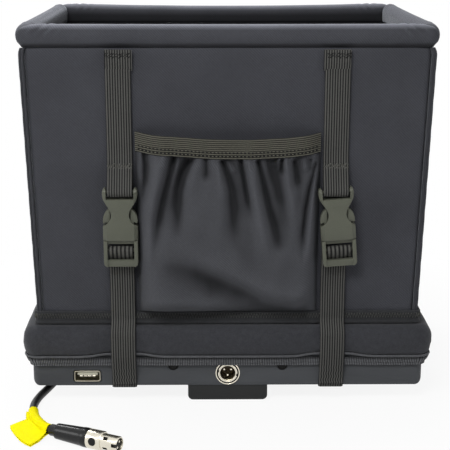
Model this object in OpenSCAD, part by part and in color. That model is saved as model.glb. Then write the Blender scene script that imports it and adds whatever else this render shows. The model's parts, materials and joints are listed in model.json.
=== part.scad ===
// Slim field unit with an upward-facing screen, worn in a padded open-top hood
// that is held on by two elastic straps with side-release buckles.
// Millimetres, +Z up, front towards -Y, origin at the mouth of the tripod thread.

/* [Base unit] */
// Width of the base unit
base_w = 218; // [200:1:240]
// Depth of the base unit, front to back
base_d = 164; // [150:1:180]
// Height of the base unit
base_h = 25; // [24:0.5:30]
// Side wall of the tray
tray_wall = 2.5; // [2:0.1:3]
// Floor of the tray
tray_floor = 1.8; // [1.5:0.1:2]
// Radius of the tray's upright and lower side edges
edge_r = 4; // [3:0.5:6]
// Height of the frame that closes the tray
frame_h = 7; // [6:0.5:8]
// Border of the frame round the screen
frame_border = 12; // [11.5:0.5:16]
// Thickness of the cover glass
glass_t = 1.8; // [1.2:0.1:2.5]
// Thickness of the screen panel under the glass
panel_t = 3.6; // [2.5:0.1:4]

/* [Inside the base] */
// Width of the main board
board_w = 84; // [70:1:84]
// Depth of the main board
board_d = 66; // [50:1:70]
// Thickness of the main board
board_t = 1.6; // [1:0.1:2]
// Width of the battery pack
battery_w = 78; // [60:1:84]
// Depth of the battery pack
battery_d = 110; // [80:1:120]
// Thickness of the battery pack
battery_t = 10.5; // [8:0.5:12]

/* [Mount shoe] */
// Width of the shoe
shoe_w = 44.5; // [40:0.5:60]
// Height of the shoe
shoe_h = 9; // [8.6:0.1:12]
// Radius of the shoe's lower edges
shoe_edge_r = 2.8; // [1.5:0.1:4]
// Bore of the tripod thread
thread_d = 6.35; // [6:0.05:6.6]
// Depth of the tripod thread
thread_depth = 7; // [5:0.5:7.5]

/* [Front ports] */
// Distance of the USB socket's middle from the base's left end
usb_end = 30.5; // [26:0.5:36]
// Height of the USB socket's middle above the tray's underside
usb_rise = 5.4; // [5.2:0.1:7]
// Width of the USB shell
usb_w = 14.6; // [13:0.1:15]
// Height of the USB shell
usb_h = 6.4; // [5.6:0.1:6.6]
// Height of the round connector's middle above the tray's underside
round_rise = 7.3; // [7.1:0.1:9]
// Diameter of the round connector's flange
flange_d = 13.6; // [12.5:0.1:14]
// Diameter of the round connector's slotted nut
nut_d = 10.8; // [10.2:0.1:11.2]
// Bore of the round connector
round_bore_d = 8.6; // [8:0.1:8.9]
// Distance of each front screw from the middle
front_screw_x = 30.5; // [26:0.5:36]
// Height of the front screws above the tray's underside
front_screw_rise = 11.6; // [10:0.1:12]
// Diameter of the recess round a front screw
front_recess_d = 7; // [6.5:0.1:8]

/* [Hood] */
// Distance from the base's edge to the foot of the hood wall
hood_inset = 3.5; // [3:0.1:4]
// Thickness of the padded walls
wall_t = 7; // [6:0.5:7.5]
// Height of the walls from the base to the rim
hood_h = 163; // [140:1:180]
// Outward lean of the walls
flare = 1.6; // [0.8:0.1:2]
// Width of the piping strips at the corners
piping_w = 3; // [2:0.1:3.5]
// Thickness of the stiffener boards in the walls
stiffener_t = 2; // [1.5:0.1:3]
// Height of the rolled rim
rim_h = 12.5; // [10:0.5:15]
// How far the rim stands out past the wall
rim_over = 1; // [0.5:0.1:2]
// Sag of the rear rim in the middle
rear_sag = 1.7; // [0:0.1:3]

/* [Skirt and bands] */
// How far the padded skirt stands out past the base
skirt_out = 5.3; // [4:0.1:7]
// Share of the skirt's bulge that the straps press flat
strap_press = 0.45; // [0.2:0.05:0.5]
// Height of the binding tape at the foot of the wall
tape_h = 7.6; // [6:0.1:10]
// Thickness of the binding tape
tape_t = 1.2; // [0.8:0.1:1.3]
// Diameter of the hem piping
hem_d = 1.4; // [1.2:0.1:2]
// Height of the gathered elastic band under the hem
band_h = 5; // [4:0.1:7]
// Thickness of the elastic band's cloth
band_t = 0.9; // [0.7:0.1:1]

/* [Pocket] */
// Width of the pocket
pocket_w = 98.8; // [80:0.2:98.8]
// Height of the pocket up to its band
pocket_h = 89.8; // [70:0.2:94]
// Height of the pocket's elastic band
pocket_band_h = 10.6; // [8:0.1:12]
// Thickness of the pocket's elastic band
pocket_band_t = 1.4; // [1:0.1:1.6]
// Thickness of the pocket's cloth
cloth_t = 1; // [0.8:0.1:1.2]
// Greatest bulge of the pocket
pocket_bulge = 12; // [9:0.5:16]
// How far the band bows out in the middle
band_bow = 8.2; // [7:0.1:9]
// How far the band sags in the middle
band_sag = 2.4; // [1:0.1:4]
// Number of gathers under the band
gathers = 9; // [6:1:10]
// Height of the gathers
gather_h = 1.1; // [0.5:0.1:1.4]

/* [Straps and buckles] */
// Distance of each strap from the middle
strap_x = 57.7; // [57.6:0.1:70]
// Width of the elastic straps
strap_w = 13.6; // [12:0.1:13.8]
// Thickness of the elastic straps
strap_t = 1.2; // [1:0.1:1.3]
// Height of the buckles' parting line above the base
buckle_rise = 61; // [56:1:80]
// Width of the buckles
buckle_w = 18.8; // [18.4:0.1:20]
// Thickness of the buckles
buckle_t = 6.4; // [6:0.1:7]
// Height of the buckle socket without its ears
socket_h = 23.5; // [23:0.1:26]
// Height of the ears that hold the socket's strap bar
ear_h = 5; // [4.6:0.1:6]
// Height of the plug's ladder frame
ladder_h = 14.6; // [14.2:0.1:16]
// Width of the plug's side rails
rail_w = 2; // [1.8:0.1:2.2]
// Thickness of the plug's spring arms
arm_t = 1.9; // [1.6:0.1:2]
// Half width of the socket's drawn-in waist
waist = 4.8; // [4.4:0.1:6]
// How far the right buckle hangs askew, in degrees
right_tilt = 4.5; // [0:0.5:5]

/* [Lead] */
// Diameter of the cable
cable_d = 4.4; // [3.6:0.1:4.6]
// Diameter of the lead connector's ring
ring_d = 10.2; // [9.6:0.1:11]
// Diameter of the lead connector's nose
nose_d = 8.3; // [7.8:0.1:8.6]
// Length of the lead connector's sleeve
sleeve_l = 23.5; // [20:0.5:28]
// Length of the lead connector's ring
ring_l = 8.6; // [7:0.1:10]
// Length of the lead connector's nose
nose_l = 9.2; // [7:0.1:11]
// Diameter of the latch button
button_d = 3.8; // [3:0.1:4.4]

/* [Hidden] */
$fn = 64;

// Clearances: between seated pieces, between soft pieces, and of moving pieces
seat = 0.15;
soft = 0.2;
play = 0.25;
// Overlap of cutting tools past the face that they cut
cut = 1;

// Colours
dark_plastic = [0.27, 0.28, 0.28];
shoe_black = [0.20, 0.20, 0.20];
screw_black = [0.08, 0.08, 0.08];
nickel = [0.78, 0.77, 0.73];
insert_black = [0.06, 0.06, 0.06];
glass_black = [0.03, 0.03, 0.04];
circuit_green = [0.05, 0.25, 0.12];
cell_blue = [0.16, 0.22, 0.38];
fabric_charcoal = [0.22, 0.23, 0.25];
board_brown = [0.45, 0.36, 0.25];
tape_black = [0.13, 0.13, 0.14];
pocket_grey = [0.26, 0.27, 0.29];
webbing_olive = [0.20, 0.20, 0.18];
buckle_olive = [0.32, 0.33, 0.29];
cable_black = [0.07, 0.07, 0.07];
flag_yellow = [0.98, 0.90, 0.05];

// Levels of the base unit
base_z = shoe_h;
base_top = base_z + base_h;
tray_h = base_h - frame_h;
tray_top = base_z + tray_h;
floor_top = base_z + tray_floor;
front_y = -base_d / 2;

// Half width and half depth of the hood's outside at height z
lean = tan(flare);
function hood_x(z) = base_w / 2 - hood_inset + (z - base_top) * lean;
function hood_y(z) = base_d / 2 - hood_inset + (z - base_top) * lean;
hood_top = base_top + hood_h;

// Small helpers on lists and points
function lerp(a, b, t) = a + (b - a) * t;
function reversed(list) = [for (i = [len(list) - 1:-1:0]) list[i]];
function unit(v) = v / norm(v);

// One point of a Catmull-Rom curve through the list p, at the parameter t from 0 to len(p) - 1
function curve_at(p, t) =
    let (i = min(floor(t), len(p) - 2), f = t - i, a = p[max(i - 1, 0)], b = p[i], c = p[i + 1],
        d = p[min(i + 2, len(p) - 1)])
    0.5 * (2 * b + (c - a) * f + (2 * a - 5 * b + 4 * c - d) * f * f + (3 * b - a - 3 * c + d) * f * f * f);
function smooth(p, per) = [for (i = [0:(len(p) - 1) * per]) curve_at(p, i / per)];

// Outline of a strip of thickness t that follows the points p of a flat path
function strip_normal(p, i) =
    let (d = unit(p[min(i + 1, len(p) - 1)] - p[max(i - 1, 0)])) [-d[1], d[0]];
function strip(p, t) = concat(
    [for (i = [0:len(p) - 1]) p[i] + strip_normal(p, i) * t / 2],
    reversed([for (i = [0:len(p) - 1]) p[i] - strip_normal(p, i) * t / 2]));

// Closed solid through a list of rings that have equally many points; a loop joins its ends
module loft(rings, loop = false) {
    n = len(rings[0]);
    m = len(rings);
    sides = [for (i = [0:m - (loop ? 1 : 2)], j = [0:n - 1])
        let (a = i * n + j, b = i * n + (j + 1) % n,
            c = (i + 1) % m * n + (j + 1) % n, d = (i + 1) % m * n + j)
        each [[a, c, b], [a, d, c]]];
    end = (m - 1) * n;
    caps = loop ? [] : [for (j = [1:n - 2]) each [[0, j, j + 1], [end, end + j + 1, end + j]]];
    polyhedron([for (r = rings) each r], concat(sides, caps), convexity = 6);
}

// Closed sheet between two grids of points, rows by columns, face a behind and face b in front
module sheet(a, b) {
    m = len(a);
    n = len(a[0]);
    back = m * n;
    function at(i, j) = i * n + j;
    function quad(p, q, r, s) = [[p, q, r], [p, r, s]];
    faces = concat(
        [for (i = [0:m - 2], j = [0:n - 2])
            each quad(at(i, j), at(i, j + 1), at(i + 1, j + 1), at(i + 1, j))],
        [for (i = [0:m - 2], j = [0:n - 2])
            each quad(back + at(i, j), back + at(i + 1, j), back + at(i + 1, j + 1), back + at(i, j + 1))],
        [for (i = [0:m - 2]) each concat(
            quad(at(i, 0), at(i + 1, 0), back + at(i + 1, 0), back + at(i, 0)),
            quad(at(i + 1, n - 1), at(i, n - 1), back + at(i, n - 1), back + at(i + 1, n - 1)))],
        [for (j = [0:n - 2]) each concat(
            quad(at(0, j + 1), at(0, j), back + at(0, j), back + at(0, j + 1)),
            quad(at(m - 1, j), at(m - 1, j + 1), back + at(m - 1, j + 1), back + at(m - 1, j)))]);
    polyhedron(concat([for (r = a) each r], [for (r = b) each r]), faces, convexity = 6);
}

// Flat outlines with true arcs
module rounded_rect(w, d, r) {
    square([w - 2 * r, d], center = true);
    square([w, d - 2 * r], center = true);
    for (x = [-1, 1], y = [-1, 1]) translate([x * (w / 2 - r), y * (d / 2 - r)]) circle(r);
}
module tub_outline(w, h, r) {
    translate([-w / 2, r]) square([w, h - r]);
    translate([r - w / 2, 0]) square([w - 2 * r, h]);
    for (x = [-1, 1]) translate([x * (w / 2 - r), r]) circle(r);
}

// Placing helpers: an outline in X and Z drawn through the depth, and a point on the front face
module through_depth(d) rotate([90, 0, 0]) translate([0, 0, -d / 2]) linear_extrude(d) children();
module on_front(x, rise) translate([x, front_y, base_z + rise]) rotate([-90, 0, 0]) children();

// Base unit

screw_inset = 11;
screw_points = [for (x = [-1, 1], y = [-1, 1])
    [x * (base_w / 2 - screw_inset), y * (base_d / 2 - screw_inset)]];
screw_d = 3;
screw_head_d = 5.6;
screw_head_h = 1.6;
boss_d = 8;
screw_l = tray_h + frame_h * 0.55;
front_boss_l = 5;
cavity_r = max(edge_r - tray_wall, 0.5);
front_screw_d = 2.6;
front_head_h = 1.1;
front_recess_h = tray_wall * 0.6;

// Board and standoffs in the front left of the tray, round the USB socket and the round connector
usb_x = base_w / 2 - usb_end;
barrel_r = round_bore_d / 2 + 0.45;
barrel_l = 14;
usb_over_board = 0.6;
board_rise = usb_rise - board_t - usb_over_board;
board_margin = 1;
board_x = screw_inset + boss_d / 2 + board_margin + board_w / 2 - base_w / 2;
board_gap = 4;
board_y = front_y + tray_wall + board_gap + board_d / 2;
standoff_d = 6;
standoff_inset = 4;
standoff_y = [front_y + barrel_l + board_margin + standoff_d / 2, board_y + board_d / 2 - standoff_inset];
standoffs = [for (x = [-1, 1], y = standoff_y) [board_x + x * (board_w / 2 - standoff_inset), y]];
usb_l = 15;
usb_r = 1.2;
port_gap = 0.6;

module base_tray() color(dark_plastic) difference() {
    union() {
        difference() {
            intersection() {
                translate([0, 0, base_z]) through_depth(base_d) tub_outline(base_w, tray_h, edge_r);
                translate([0, 0, base_z]) linear_extrude(tray_h) rounded_rect(base_w, base_d, edge_r);
            }
            translate([0, 0, floor_top]) linear_extrude(tray_h)
                rounded_rect(base_w - 2 * tray_wall, base_d - 2 * tray_wall, cavity_r);
        }
        for (p = screw_points) translate([p[0], p[1], base_z + tray_floor / 2])
            cylinder(d = boss_d, h = tray_h - tray_floor / 2);
        for (p = standoffs) translate([p[0], p[1], base_z + tray_floor / 2])
            cylinder(d = standoff_d, h = board_rise - tray_floor / 2);
        for (x = [-1, 1]) on_front(x * front_screw_x, front_screw_rise) translate([0, 0, tray_wall / 2])
            cylinder(d = front_recess_d, h = tray_wall / 2 + front_boss_l);
    }
    for (p = screw_points) translate([p[0], p[1], base_z - cut]) {
        cylinder(d = screw_d + 2 * seat, h = tray_h + 2 * cut);
        cylinder(d = screw_head_d + 2 * seat, h = cut + screw_head_h + seat);
    }
    for (p = shoe_screw_points) translate([p[0], p[1], base_z - cut])
        cylinder(d = shoe_screw_d + 2 * seat, h = tray_floor + 2 * cut);
    for (x = [-1, 1]) on_front(x * front_screw_x, front_screw_rise) translate([0, 0, -cut]) {
        cylinder(d = front_recess_d - 1, h = cut + front_recess_h);
        cylinder(d = front_screw_d + 2 * seat, h = cut + tray_wall + front_boss_l - 1);
    }
    on_front(-usb_x, usb_rise) translate([0, 0, -cut]) linear_extrude(tray_wall + 2 * cut)
        rounded_rect(usb_w + 2 * port_gap, usb_h + 2 * port_gap, usb_r + port_gap);
    on_front(0, round_rise) translate([0, 0, -cut])
        cylinder(r = barrel_r + seat, h = tray_wall + 2 * cut);
}

// Frame that closes the tray, with a rebate for the glass and a lip inside the tray
lip_t = 1.6;
lip_h = 2;
rebate = 3;
open_w = base_w - 2 * frame_border;
open_d = base_d - 2 * frame_border;
window_w = open_w - 2 * rebate;
window_d = open_d - 2 * rebate;
window_r = 3;

module top_frame() color(dark_plastic) difference() {
    union() {
        translate([0, 0, tray_top]) linear_extrude(frame_h) rounded_rect(base_w, base_d, edge_r);
        translate([0, 0, tray_top - lip_h]) linear_extrude(lip_h + cut) difference() {
            rounded_rect(base_w - 2 * (tray_wall + seat), base_d - 2 * (tray_wall + seat), cavity_r);
            rounded_rect(base_w - 2 * (tray_wall + lip_t), base_d - 2 * (tray_wall + lip_t), 1);
            for (p = screw_points) translate(p) square(2 * (screw_inset - tray_wall), center = true);
        }
    }
    translate([0, 0, base_top - glass_t - seat]) linear_extrude(frame_h)
        rounded_rect(open_w, open_d, window_r);
    translate([0, 0, tray_top - cut]) linear_extrude(base_h) rounded_rect(window_w, window_d, window_r);
    for (p = screw_points) translate([p[0], p[1], tray_top - cut])
        cylinder(d = screw_d + 2 * seat, h = cut + frame_h * 0.7);
}

module display_glass() color(glass_black) translate([0, 0, base_top - glass_t - seat + 0.05])
    linear_extrude(glass_t) rounded_rect(open_w - 2 * seat, open_d - 2 * seat, window_r);

module display_panel() color(glass_black) translate([0, 0, base_top - glass_t - seat - panel_t])
    linear_extrude(panel_t) rounded_rect(window_w - 2 * seat, window_d - 2 * seat, window_r - seat);

module main_board() color(circuit_green) difference() {
    translate([board_x, board_y, base_z + board_rise]) linear_extrude(board_t)
        rounded_rect(board_w, board_d, 2);
    translate([-usb_x, front_y + usb_l / 2, base_z + usb_rise])
        cube([usb_w + 4 * seat, usb_l + 4 * seat, usb_h + 4 * seat], center = true);
    on_front(0, round_rise) cylinder(r = barrel_r + board_margin, h = barrel_l + board_margin);
}

battery_gap = 8;
battery_x = base_w / 2 - tray_wall - battery_gap - battery_w / 2;

module battery_pack() color(cell_blue) translate([battery_x, 0, floor_top])
    linear_extrude(battery_t) rounded_rect(battery_w, battery_d, 4);

// USB socket: folded shell, and the plastic tongue with its back block
usb_sheet = 0.5;
tongue_t = 1.9;
tongue_gap = 0.4;
tongue_w = usb_w - 3.4;
usb_back_l = 5;

module usb_socket() color(nickel) on_front(-usb_x, usb_rise) difference() {
    linear_extrude(usb_l) rounded_rect(usb_w, usb_h, usb_r);
    translate([0, 0, -cut]) linear_extrude(usb_l + 2 * cut)
        rounded_rect(usb_w - 2 * usb_sheet, usb_h - 2 * usb_sheet, usb_r - usb_sheet);
}

module usb_tongue() color(insert_black) on_front(-usb_x, usb_rise) {
    translate([0, 0, usb_l - usb_back_l]) linear_extrude(usb_back_l - seat)
        rounded_rect(usb_w - 2 * (usb_sheet + seat), usb_h - 2 * (usb_sheet + seat), usb_r - usb_sheet);
    translate([-tongue_w / 2, -usb_h / 2 + usb_sheet + tongue_gap, 1])
        cube([tongue_w, tongue_t, usb_l - usb_back_l]);
}

// Round panel connector: barrel with a lipped flange, slotted nut, insert and pins
flange_t = 0.35;
lip_proud = 0.7;
lip_ring = 0.6;
nut_proud = 0.8;
nut_slot = 1.4;
nut_slot_depth = 0.45;
nut_turn = 12;
insert_depth = 7.5;
pin_d = 1;
pin_circle = 2.2;
pin_angles = [90, 210, 330];

module panel_connector_shell() color(nickel) on_front(0, round_rise) {
    difference() {
        translate([0, 0, -nut_proud]) cylinder(r = barrel_r, h = barrel_l + nut_proud);
        translate([0, 0, -nut_proud - cut]) cylinder(d = round_bore_d, h = barrel_l + nut_proud + 2 * cut);
    }
    difference() {
        translate([0, 0, -lip_proud]) cylinder(d = flange_d, h = lip_proud - 0.02);
        translate([0, 0, -lip_proud - cut])
            cylinder(d = flange_d - 2 * lip_ring, h = lip_proud - flange_t + cut);
        translate([0, 0, -lip_proud - cut]) cylinder(r = barrel_r - 0.1, h = lip_proud + 2 * cut);
    }
}

module panel_connector_nut() color(nickel) on_front(0, round_rise) translate([0, 0, -nut_proud])
difference() {
    cylinder(d = nut_d, h = nut_proud - flange_t - 0.05);
    translate([0, 0, -cut]) cylinder(r = barrel_r + 0.05, h = nut_proud + 2 * cut);
    rotate(nut_turn) for (x = [-1, 1]) translate([x * nut_d / 2, 0, 0])
        cube([nut_slot_depth * 2, nut_slot, 2 * nut_proud], center = true);
}

module panel_connector_insert() color(insert_black) on_front(0, round_rise) difference() {
    translate([0, 0, insert_depth]) cylinder(d = round_bore_d - 2 * seat, h = barrel_l - insert_depth - 0.5);
    for (a = pin_angles) rotate(a) translate([pin_circle, 0, insert_depth - cut])
        cylinder(d = pin_d + seat, h = barrel_l, $fn = 24);
}

module panel_connector_pins() color(nickel) on_front(0, round_rise)
    for (a = pin_angles) rotate(a) translate([pin_circle, 0, 2]) cylinder(d = pin_d, h = barrel_l, $fn = 24);

// Mount shoe: a rail under the base with the tripod thread, held by four countersunk screws
shoe_setback = 0.5;
shoe_d = base_d - 2 * shoe_setback;
shoe_screw_d = 4;
shoe_head_d = 7.6;
shoe_head_h = 2.2;
shoe_head_depth = 0.6;
shoe_screw_in = [9, 24];
shoe_screw_points = [for (x = [-1, 1], y = [-1, 1])
    [x * (shoe_w / 2 - shoe_screw_in[0]), y * (shoe_d / 2 - shoe_screw_in[1])]];

module shoe_screw_shape(room) {
    cylinder(d = shoe_screw_d + 2 * room, h = shoe_h - shoe_head_depth + tray_floor);
    cylinder(d1 = shoe_head_d + 2 * room, d2 = shoe_screw_d + 2 * room, h = shoe_head_h);
}

module mount_shoe() color(shoe_black) difference() {
    through_depth(shoe_d) tub_outline(shoe_w, shoe_h, shoe_edge_r);
    translate([0, 0, -cut]) cylinder(d = thread_d, h = thread_depth + cut);
    for (p = shoe_screw_points) translate([p[0], p[1], 0]) {
        translate([0, 0, shoe_head_depth]) shoe_screw_shape(seat);
        translate([0, 0, -cut]) cylinder(d = shoe_head_d + 2 * seat, h = cut + shoe_head_depth);
    }
}

module shoe_screws() color(screw_black) for (p = shoe_screw_points)
    translate([p[0], p[1], shoe_head_depth]) shoe_screw_shape(0);

module housing_screws() color(screw_black) for (p = screw_points) translate([p[0], p[1], base_z]) {
    cylinder(d = screw_head_d, h = screw_head_h);
    cylinder(d = screw_d, h = screw_l);
}

module front_screws() color(screw_black) for (x = [-1, 1]) on_front(x * front_screw_x, front_screw_rise) {
    translate([0, 0, front_recess_h - front_head_h])
        cylinder(d = front_recess_d - 1 - 2 * seat, h = front_head_h);
    cylinder(d = front_screw_d, h = tray_wall + front_boss_l - 1.5);
}

// Hood walls: each is a padded cover round a stiffener board, mitred at the corners

// Ring of the front or side wall at height z, seen from above; half is the wall's half length
// and face the distance of its outside from the middle
function wall_ring(half, face, z) = let (a = half - piping_w - seat, b = half - wall_t - seat) [
    [-a, -face, z], [a, -face, z], [a, piping_w - face, z], [b, wall_t - face, z],
    [-b, wall_t - face, z], [-a, piping_w - face, z]];
function front_wall() = [for (z = [base_top, hood_top]) wall_ring(hood_x(z), hood_y(z), z)];
function side_wall() = [for (z = [base_top, hood_top]) wall_ring(hood_y(z), hood_x(z), z)];

// Ring of a stiffener board, set in from the wall's ends; room widens it for the pocket that it lies in
stiffener_margin = 12;
stiffener_foot = 4;
function board_ring(half, face, z, room) =
    let (a = half - stiffener_margin + room, y0 = (wall_t - stiffener_t) / 2 - room, y1 = wall_t - y0) [
    [-a, y0 - face, z], [a, y0 - face, z], [a, y1 - face, z], [-a, y1 - face, z]];
board_z = [base_top + stiffener_foot, hood_top - stiffener_foot];
function front_stiffener(room) =
    [for (i = [0, 1]) let (z = board_z[i]) board_ring(hood_x(z), hood_y(z), z + (2 * i - 1) * room, room)];
function side_stiffener(room) =
    [for (i = [0, 1]) let (z = board_z[i]) board_ring(hood_y(z), hood_x(z), z + (2 * i - 1) * room, room)];

module padded_wall(rings, pocket_rings) color(fabric_charcoal) difference() {
    loft(rings);
    loft(pocket_rings);
}
module front_panel() padded_wall(front_wall(), front_stiffener(seat));
module rear_panel() rotate(180) front_panel();
module right_panel() rotate(90) padded_wall(side_wall(), side_stiffener(seat));
module left_panel() rotate(180) right_panel();
module front_board() color(board_brown) loft(front_stiffener(0));
module rear_board() rotate(180) front_board();
module right_board() rotate(90) color(board_brown) loft(side_stiffener(0));
module left_board() rotate(180) right_board();

// Piping strips at the four corners, with a rounded outer edge
piping_steps = 4;
function piping_ring(z) = let (x = hood_x(z), y = -hood_y(z), r = piping_w * 0.8) concat(
    [[x - piping_w, y + piping_w, z], [x - piping_w, y, z]],
    [for (i = [0:piping_steps]) let (a = -90 + 90 * i / piping_steps)
        [x - r + r * cos(a), y + r + r * sin(a), z]],
    [[x, y + piping_w, z]]);
module corner_piping() color(tape_black) for (mx = [0, 1], my = [0, 1]) mirror([mx, 0, 0]) mirror([0, my, 0])
    loft([for (z = [base_top, hood_top]) piping_ring(z)]);

// Rolled rim: four padded bars with a round top, mitred at the corners
rim_z = hood_top + seat;
rim_t = wall_t + 2 * rim_over;
rim_x = hood_x(hood_top) + rim_over;
rim_y = hood_y(hood_top) + rim_over;
rim_stations = 8;
rim_arc_steps = 6;
rim_profile = concat(
    [[rim_over, 0], [0, 1.6]],
    [for (i = [0:rim_arc_steps]) let (a = 180 - 180 * i / rim_arc_steps)
        [rim_t / 2 + rim_t / 2 * cos(a), rim_h - rim_t / 2 + rim_t / 2 * sin(a)]],
    [[rim_t, 1.6], [rim_t - rim_over, 0]]);
function rim_ring(half, face, t, sag) = [for (p = rim_profile)
    [t * (half - p[0] - soft), p[0] - face, rim_z + p[1] - sag * (1 - t * t) * p[1] / rim_h]];
module rim_bar(half, face, sag) color(fabric_charcoal)
    loft([for (i = [0:rim_stations]) rim_ring(half, face, 2 * i / rim_stations - 1, sag)]);
module front_rim() rim_bar(rim_x, rim_y, 0.3);
module rear_rim() rotate(180) rim_bar(rim_x, rim_y, rear_sag);
module right_rim() rotate(90) rim_bar(rim_y, rim_x, 0.4);
module left_rim() rotate(-90) rim_bar(rim_y, rim_x, 0.4);

// Skirt, hem and bands: loops round the base, pressed in where the straps cross them

// Stations round the base's outline: place and outward direction, front first
long_steps = 18;
short_steps = 6;
corner_steps = 4;
function straight(a, b, n, out) = [for (i = [0:n]) [each lerp(a, b, i / n), each out]];
function corner(c, r, from) = [for (i = [1:corner_steps - 1]) let (a = from + 90 * i / corner_steps)
    [c[0] + r * cos(a), c[1] + r * sin(a), cos(a), sin(a)]];
function stations() = let (r = edge_r, x = base_w / 2, y = base_d / 2) concat(
    straight([r - x, -y], [x - r, -y], long_steps, [0, -1]), corner([x - r, r - y], r, -90),
    straight([x, r - y], [x, y - r], short_steps, [1, 0]), corner([x - r, y - r], r, 0),
    straight([x - r, y], [r - x, y], long_steps, [0, 1]), corner([r - x, y - r], r, 90),
    straight([-x, y - r], [-x, r - y], short_steps, [-1, 0]), corner([r - x, r - y], r, 180));

// How hard a strap presses at a station, from 0 to 1
press_fade = 8;
press_half = strap_w * 0.65;
function press(s) = abs(s[3]) < 1 ? 0
    : exp(-pow(max(abs(abs(s[0]) - strap_x) - press_half, 0) / press_fade, 2));
function loop_ring(profile, s, lift) = [for (p = profile) let (k = press(s))
    let (out = p[0] > seat_out ? lerp(p[0], seat_out + (p[0] - seat_out) * (1 - strap_press), k) : p[0])
    [s[0] + s[2] * out, s[1] + s[3] * out, p[1] + lift * k]];
module band_loop(profile, lift) loft([for (s = stations()) loop_ring(profile, s, lift)], loop = true);

// Offsets from the base's outline: seat_out clears the proud rim of the round connector
seat_out = nut_proud + soft;
skirt_drop = 4.6;
skirt_rise = 10.2;
skirt_foot = base_top - skirt_drop;
skirt_top = base_top + skirt_rise;
wall_out = soft - hood_inset;
hem_lift = 1.3;
skirt_profile = reversed([
    [soft, skirt_foot + 2 * soft], [skirt_out * 0.6, skirt_foot],
    [skirt_out * 0.9, skirt_foot + skirt_drop * 0.45], [skirt_out, base_top + skirt_rise * 0.09],
    [skirt_out * 0.9, base_top + skirt_rise * 0.47],
    [skirt_out * 0.55, base_top + skirt_rise * 0.79], [0, base_top + skirt_rise * 0.95],
    [wall_out + skirt_rise * lean, skirt_top], [wall_out + 0.1, base_top + skirt_rise * 0.18],
    [wall_out + 0.1, base_top + soft], [soft, base_top + soft]]);
module skirt() color(fabric_charcoal) band_loop(skirt_profile, 0);

hem_sides = 6;
hem_z = skirt_foot - hem_d / 2 - hem_lift - soft;
hem_profile = [for (i = [0:hem_sides - 1]) let (a = -360 * i / hem_sides)
    [skirt_out * 0.72 + hem_d / 2 * cos(a), hem_z + hem_d / 2 * sin(a)]];
module hem_piping() color(tape_black) band_loop(hem_profile, hem_lift);

band_top = hem_z - hem_d / 2 - soft;
band_foot = band_top - band_h;
band_profile = reversed([
    [seat_out, band_foot], [seat_out + band_t, band_foot], [seat_out + band_t + 0.1, band_foot + 1.2],
    [skirt_out * 0.42 + band_t, band_top - 2.4], [skirt_out * 0.6 + band_t, band_top],
    [skirt_out * 0.6, band_top], [skirt_out * 0.42, band_top - 2.2], [seat_out + 0.1, band_foot + 1.4]]);
module elastic_band() color(tape_black) band_loop(band_profile, 0);

// Binding tape round the foot of the wall
tape_foot = skirt_top + soft;
tape_top = tape_foot + tape_h;
tape_r = 1.2;
tape_x = hood_x(tape_top) + soft;
tape_y = hood_y(tape_top) + soft;
module binding_tape() color(tape_black) translate([0, 0, tape_foot]) linear_extrude(tape_h) difference() {
    rounded_rect(2 * (tape_x + tape_t), 2 * (tape_y + tape_t), tape_r + tape_t);
    rounded_rect(2 * tape_x, 2 * tape_y, 0.4);
}

// Pocket: a gathered sheet on the front wall, in a frame whose origin is on the wall at the tape's top,
// with X across, Y out of the wall and Z up the wall

module on_wall(z) translate([0, -hood_y(z), z]) rotate([flare, 0, 0]) mirror([0, 1, 0]) children();

pocket_foot = tape_top + soft;
pocket_nu = 36;
pocket_nv = 14;
// Swelling of the sheet from its sewn edge, 0 to 1, and the sheet's sag along its top
function swell(u) = pow(sin(180 * u), 0.75);
crest = 0.4;
function rise_shape(v) = v < crest ? pow(sin(90 * v / crest), 0.7)
    : lerp(1, band_bow / pocket_bulge, pow((v - crest) / (1 - crest), 1.4));
function gather_fade(v) = pow(max(v - 0.25, 0) / 0.75, 1.6);
fold_from = [0.66, 0.48];
fold_to = [0.86, 0.16];
fold_h = 1.6;
fold_half = 0.06;
function fold_at(u, v) = let (t = min(max((fold_from[1] - v) / (fold_from[1] - fold_to[1]), 0), 1),
    d = norm([u, v] - lerp(fold_from, fold_to, t))) fold_h * exp(-pow(d / fold_half, 2));
function pocket_out(u, v) = soft + swell(u) * (pocket_bulge * rise_shape(v) + fold_at(u, v)
    + gather_h * gather_fade(v) * (1 + cos(360 * gathers * u)) - gather_h * gather_fade(v));
function pocket_point(u, v, extra) = [(u - 0.5) * (pocket_w - 1.4 * (1 - v)), pocket_out(u, v) + extra,
    v * (pocket_h - band_sag * sin(180 * u))];
function pocket_face(extra) =
    [for (i = [0:pocket_nu]) [for (j = [0:pocket_nv]) pocket_point(i / pocket_nu, j / pocket_nv, extra)]];
module pocket() color(pocket_grey) on_wall(pocket_foot) sheet(pocket_face(0), pocket_face(cloth_t));

// Elastic band along the pocket's mouth
band_nu = 28;
band_round = 0.35;
function mouth_ring(u) = let (x = (u - 0.5) * pocket_w, y = soft + band_bow * swell(u),
    z0 = soft + pocket_h - band_sag * sin(180 * u), z1 = z0 + pocket_band_h, t = pocket_band_t,
    r = band_round) [
    [x, y, z0 + r], [x, y + r, z0], [x, y + t - r, z0], [x, y + t, z0 + r],
    [x, y + t, z1 - r], [x, y + t - r, z1], [x, y + r, z1], [x, y, z1 - r]];
module pocket_band() color(webbing_olive) on_wall(pocket_foot)
    loft([for (i = [0:band_nu]) mouth_ring(i / band_nu)]);

// Straps and buckles

// Buckle frame: origin on the wall at the parting line, X across, Y out of the wall, Z up the wall
buckle_z = base_top + buckle_rise;
buckle_back = 2.6;
buckle_y = buckle_back + buckle_t / 2;
module at_strap(side) translate([side * strap_x, 0, 0]) on_wall(buckle_z) children();

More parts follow.
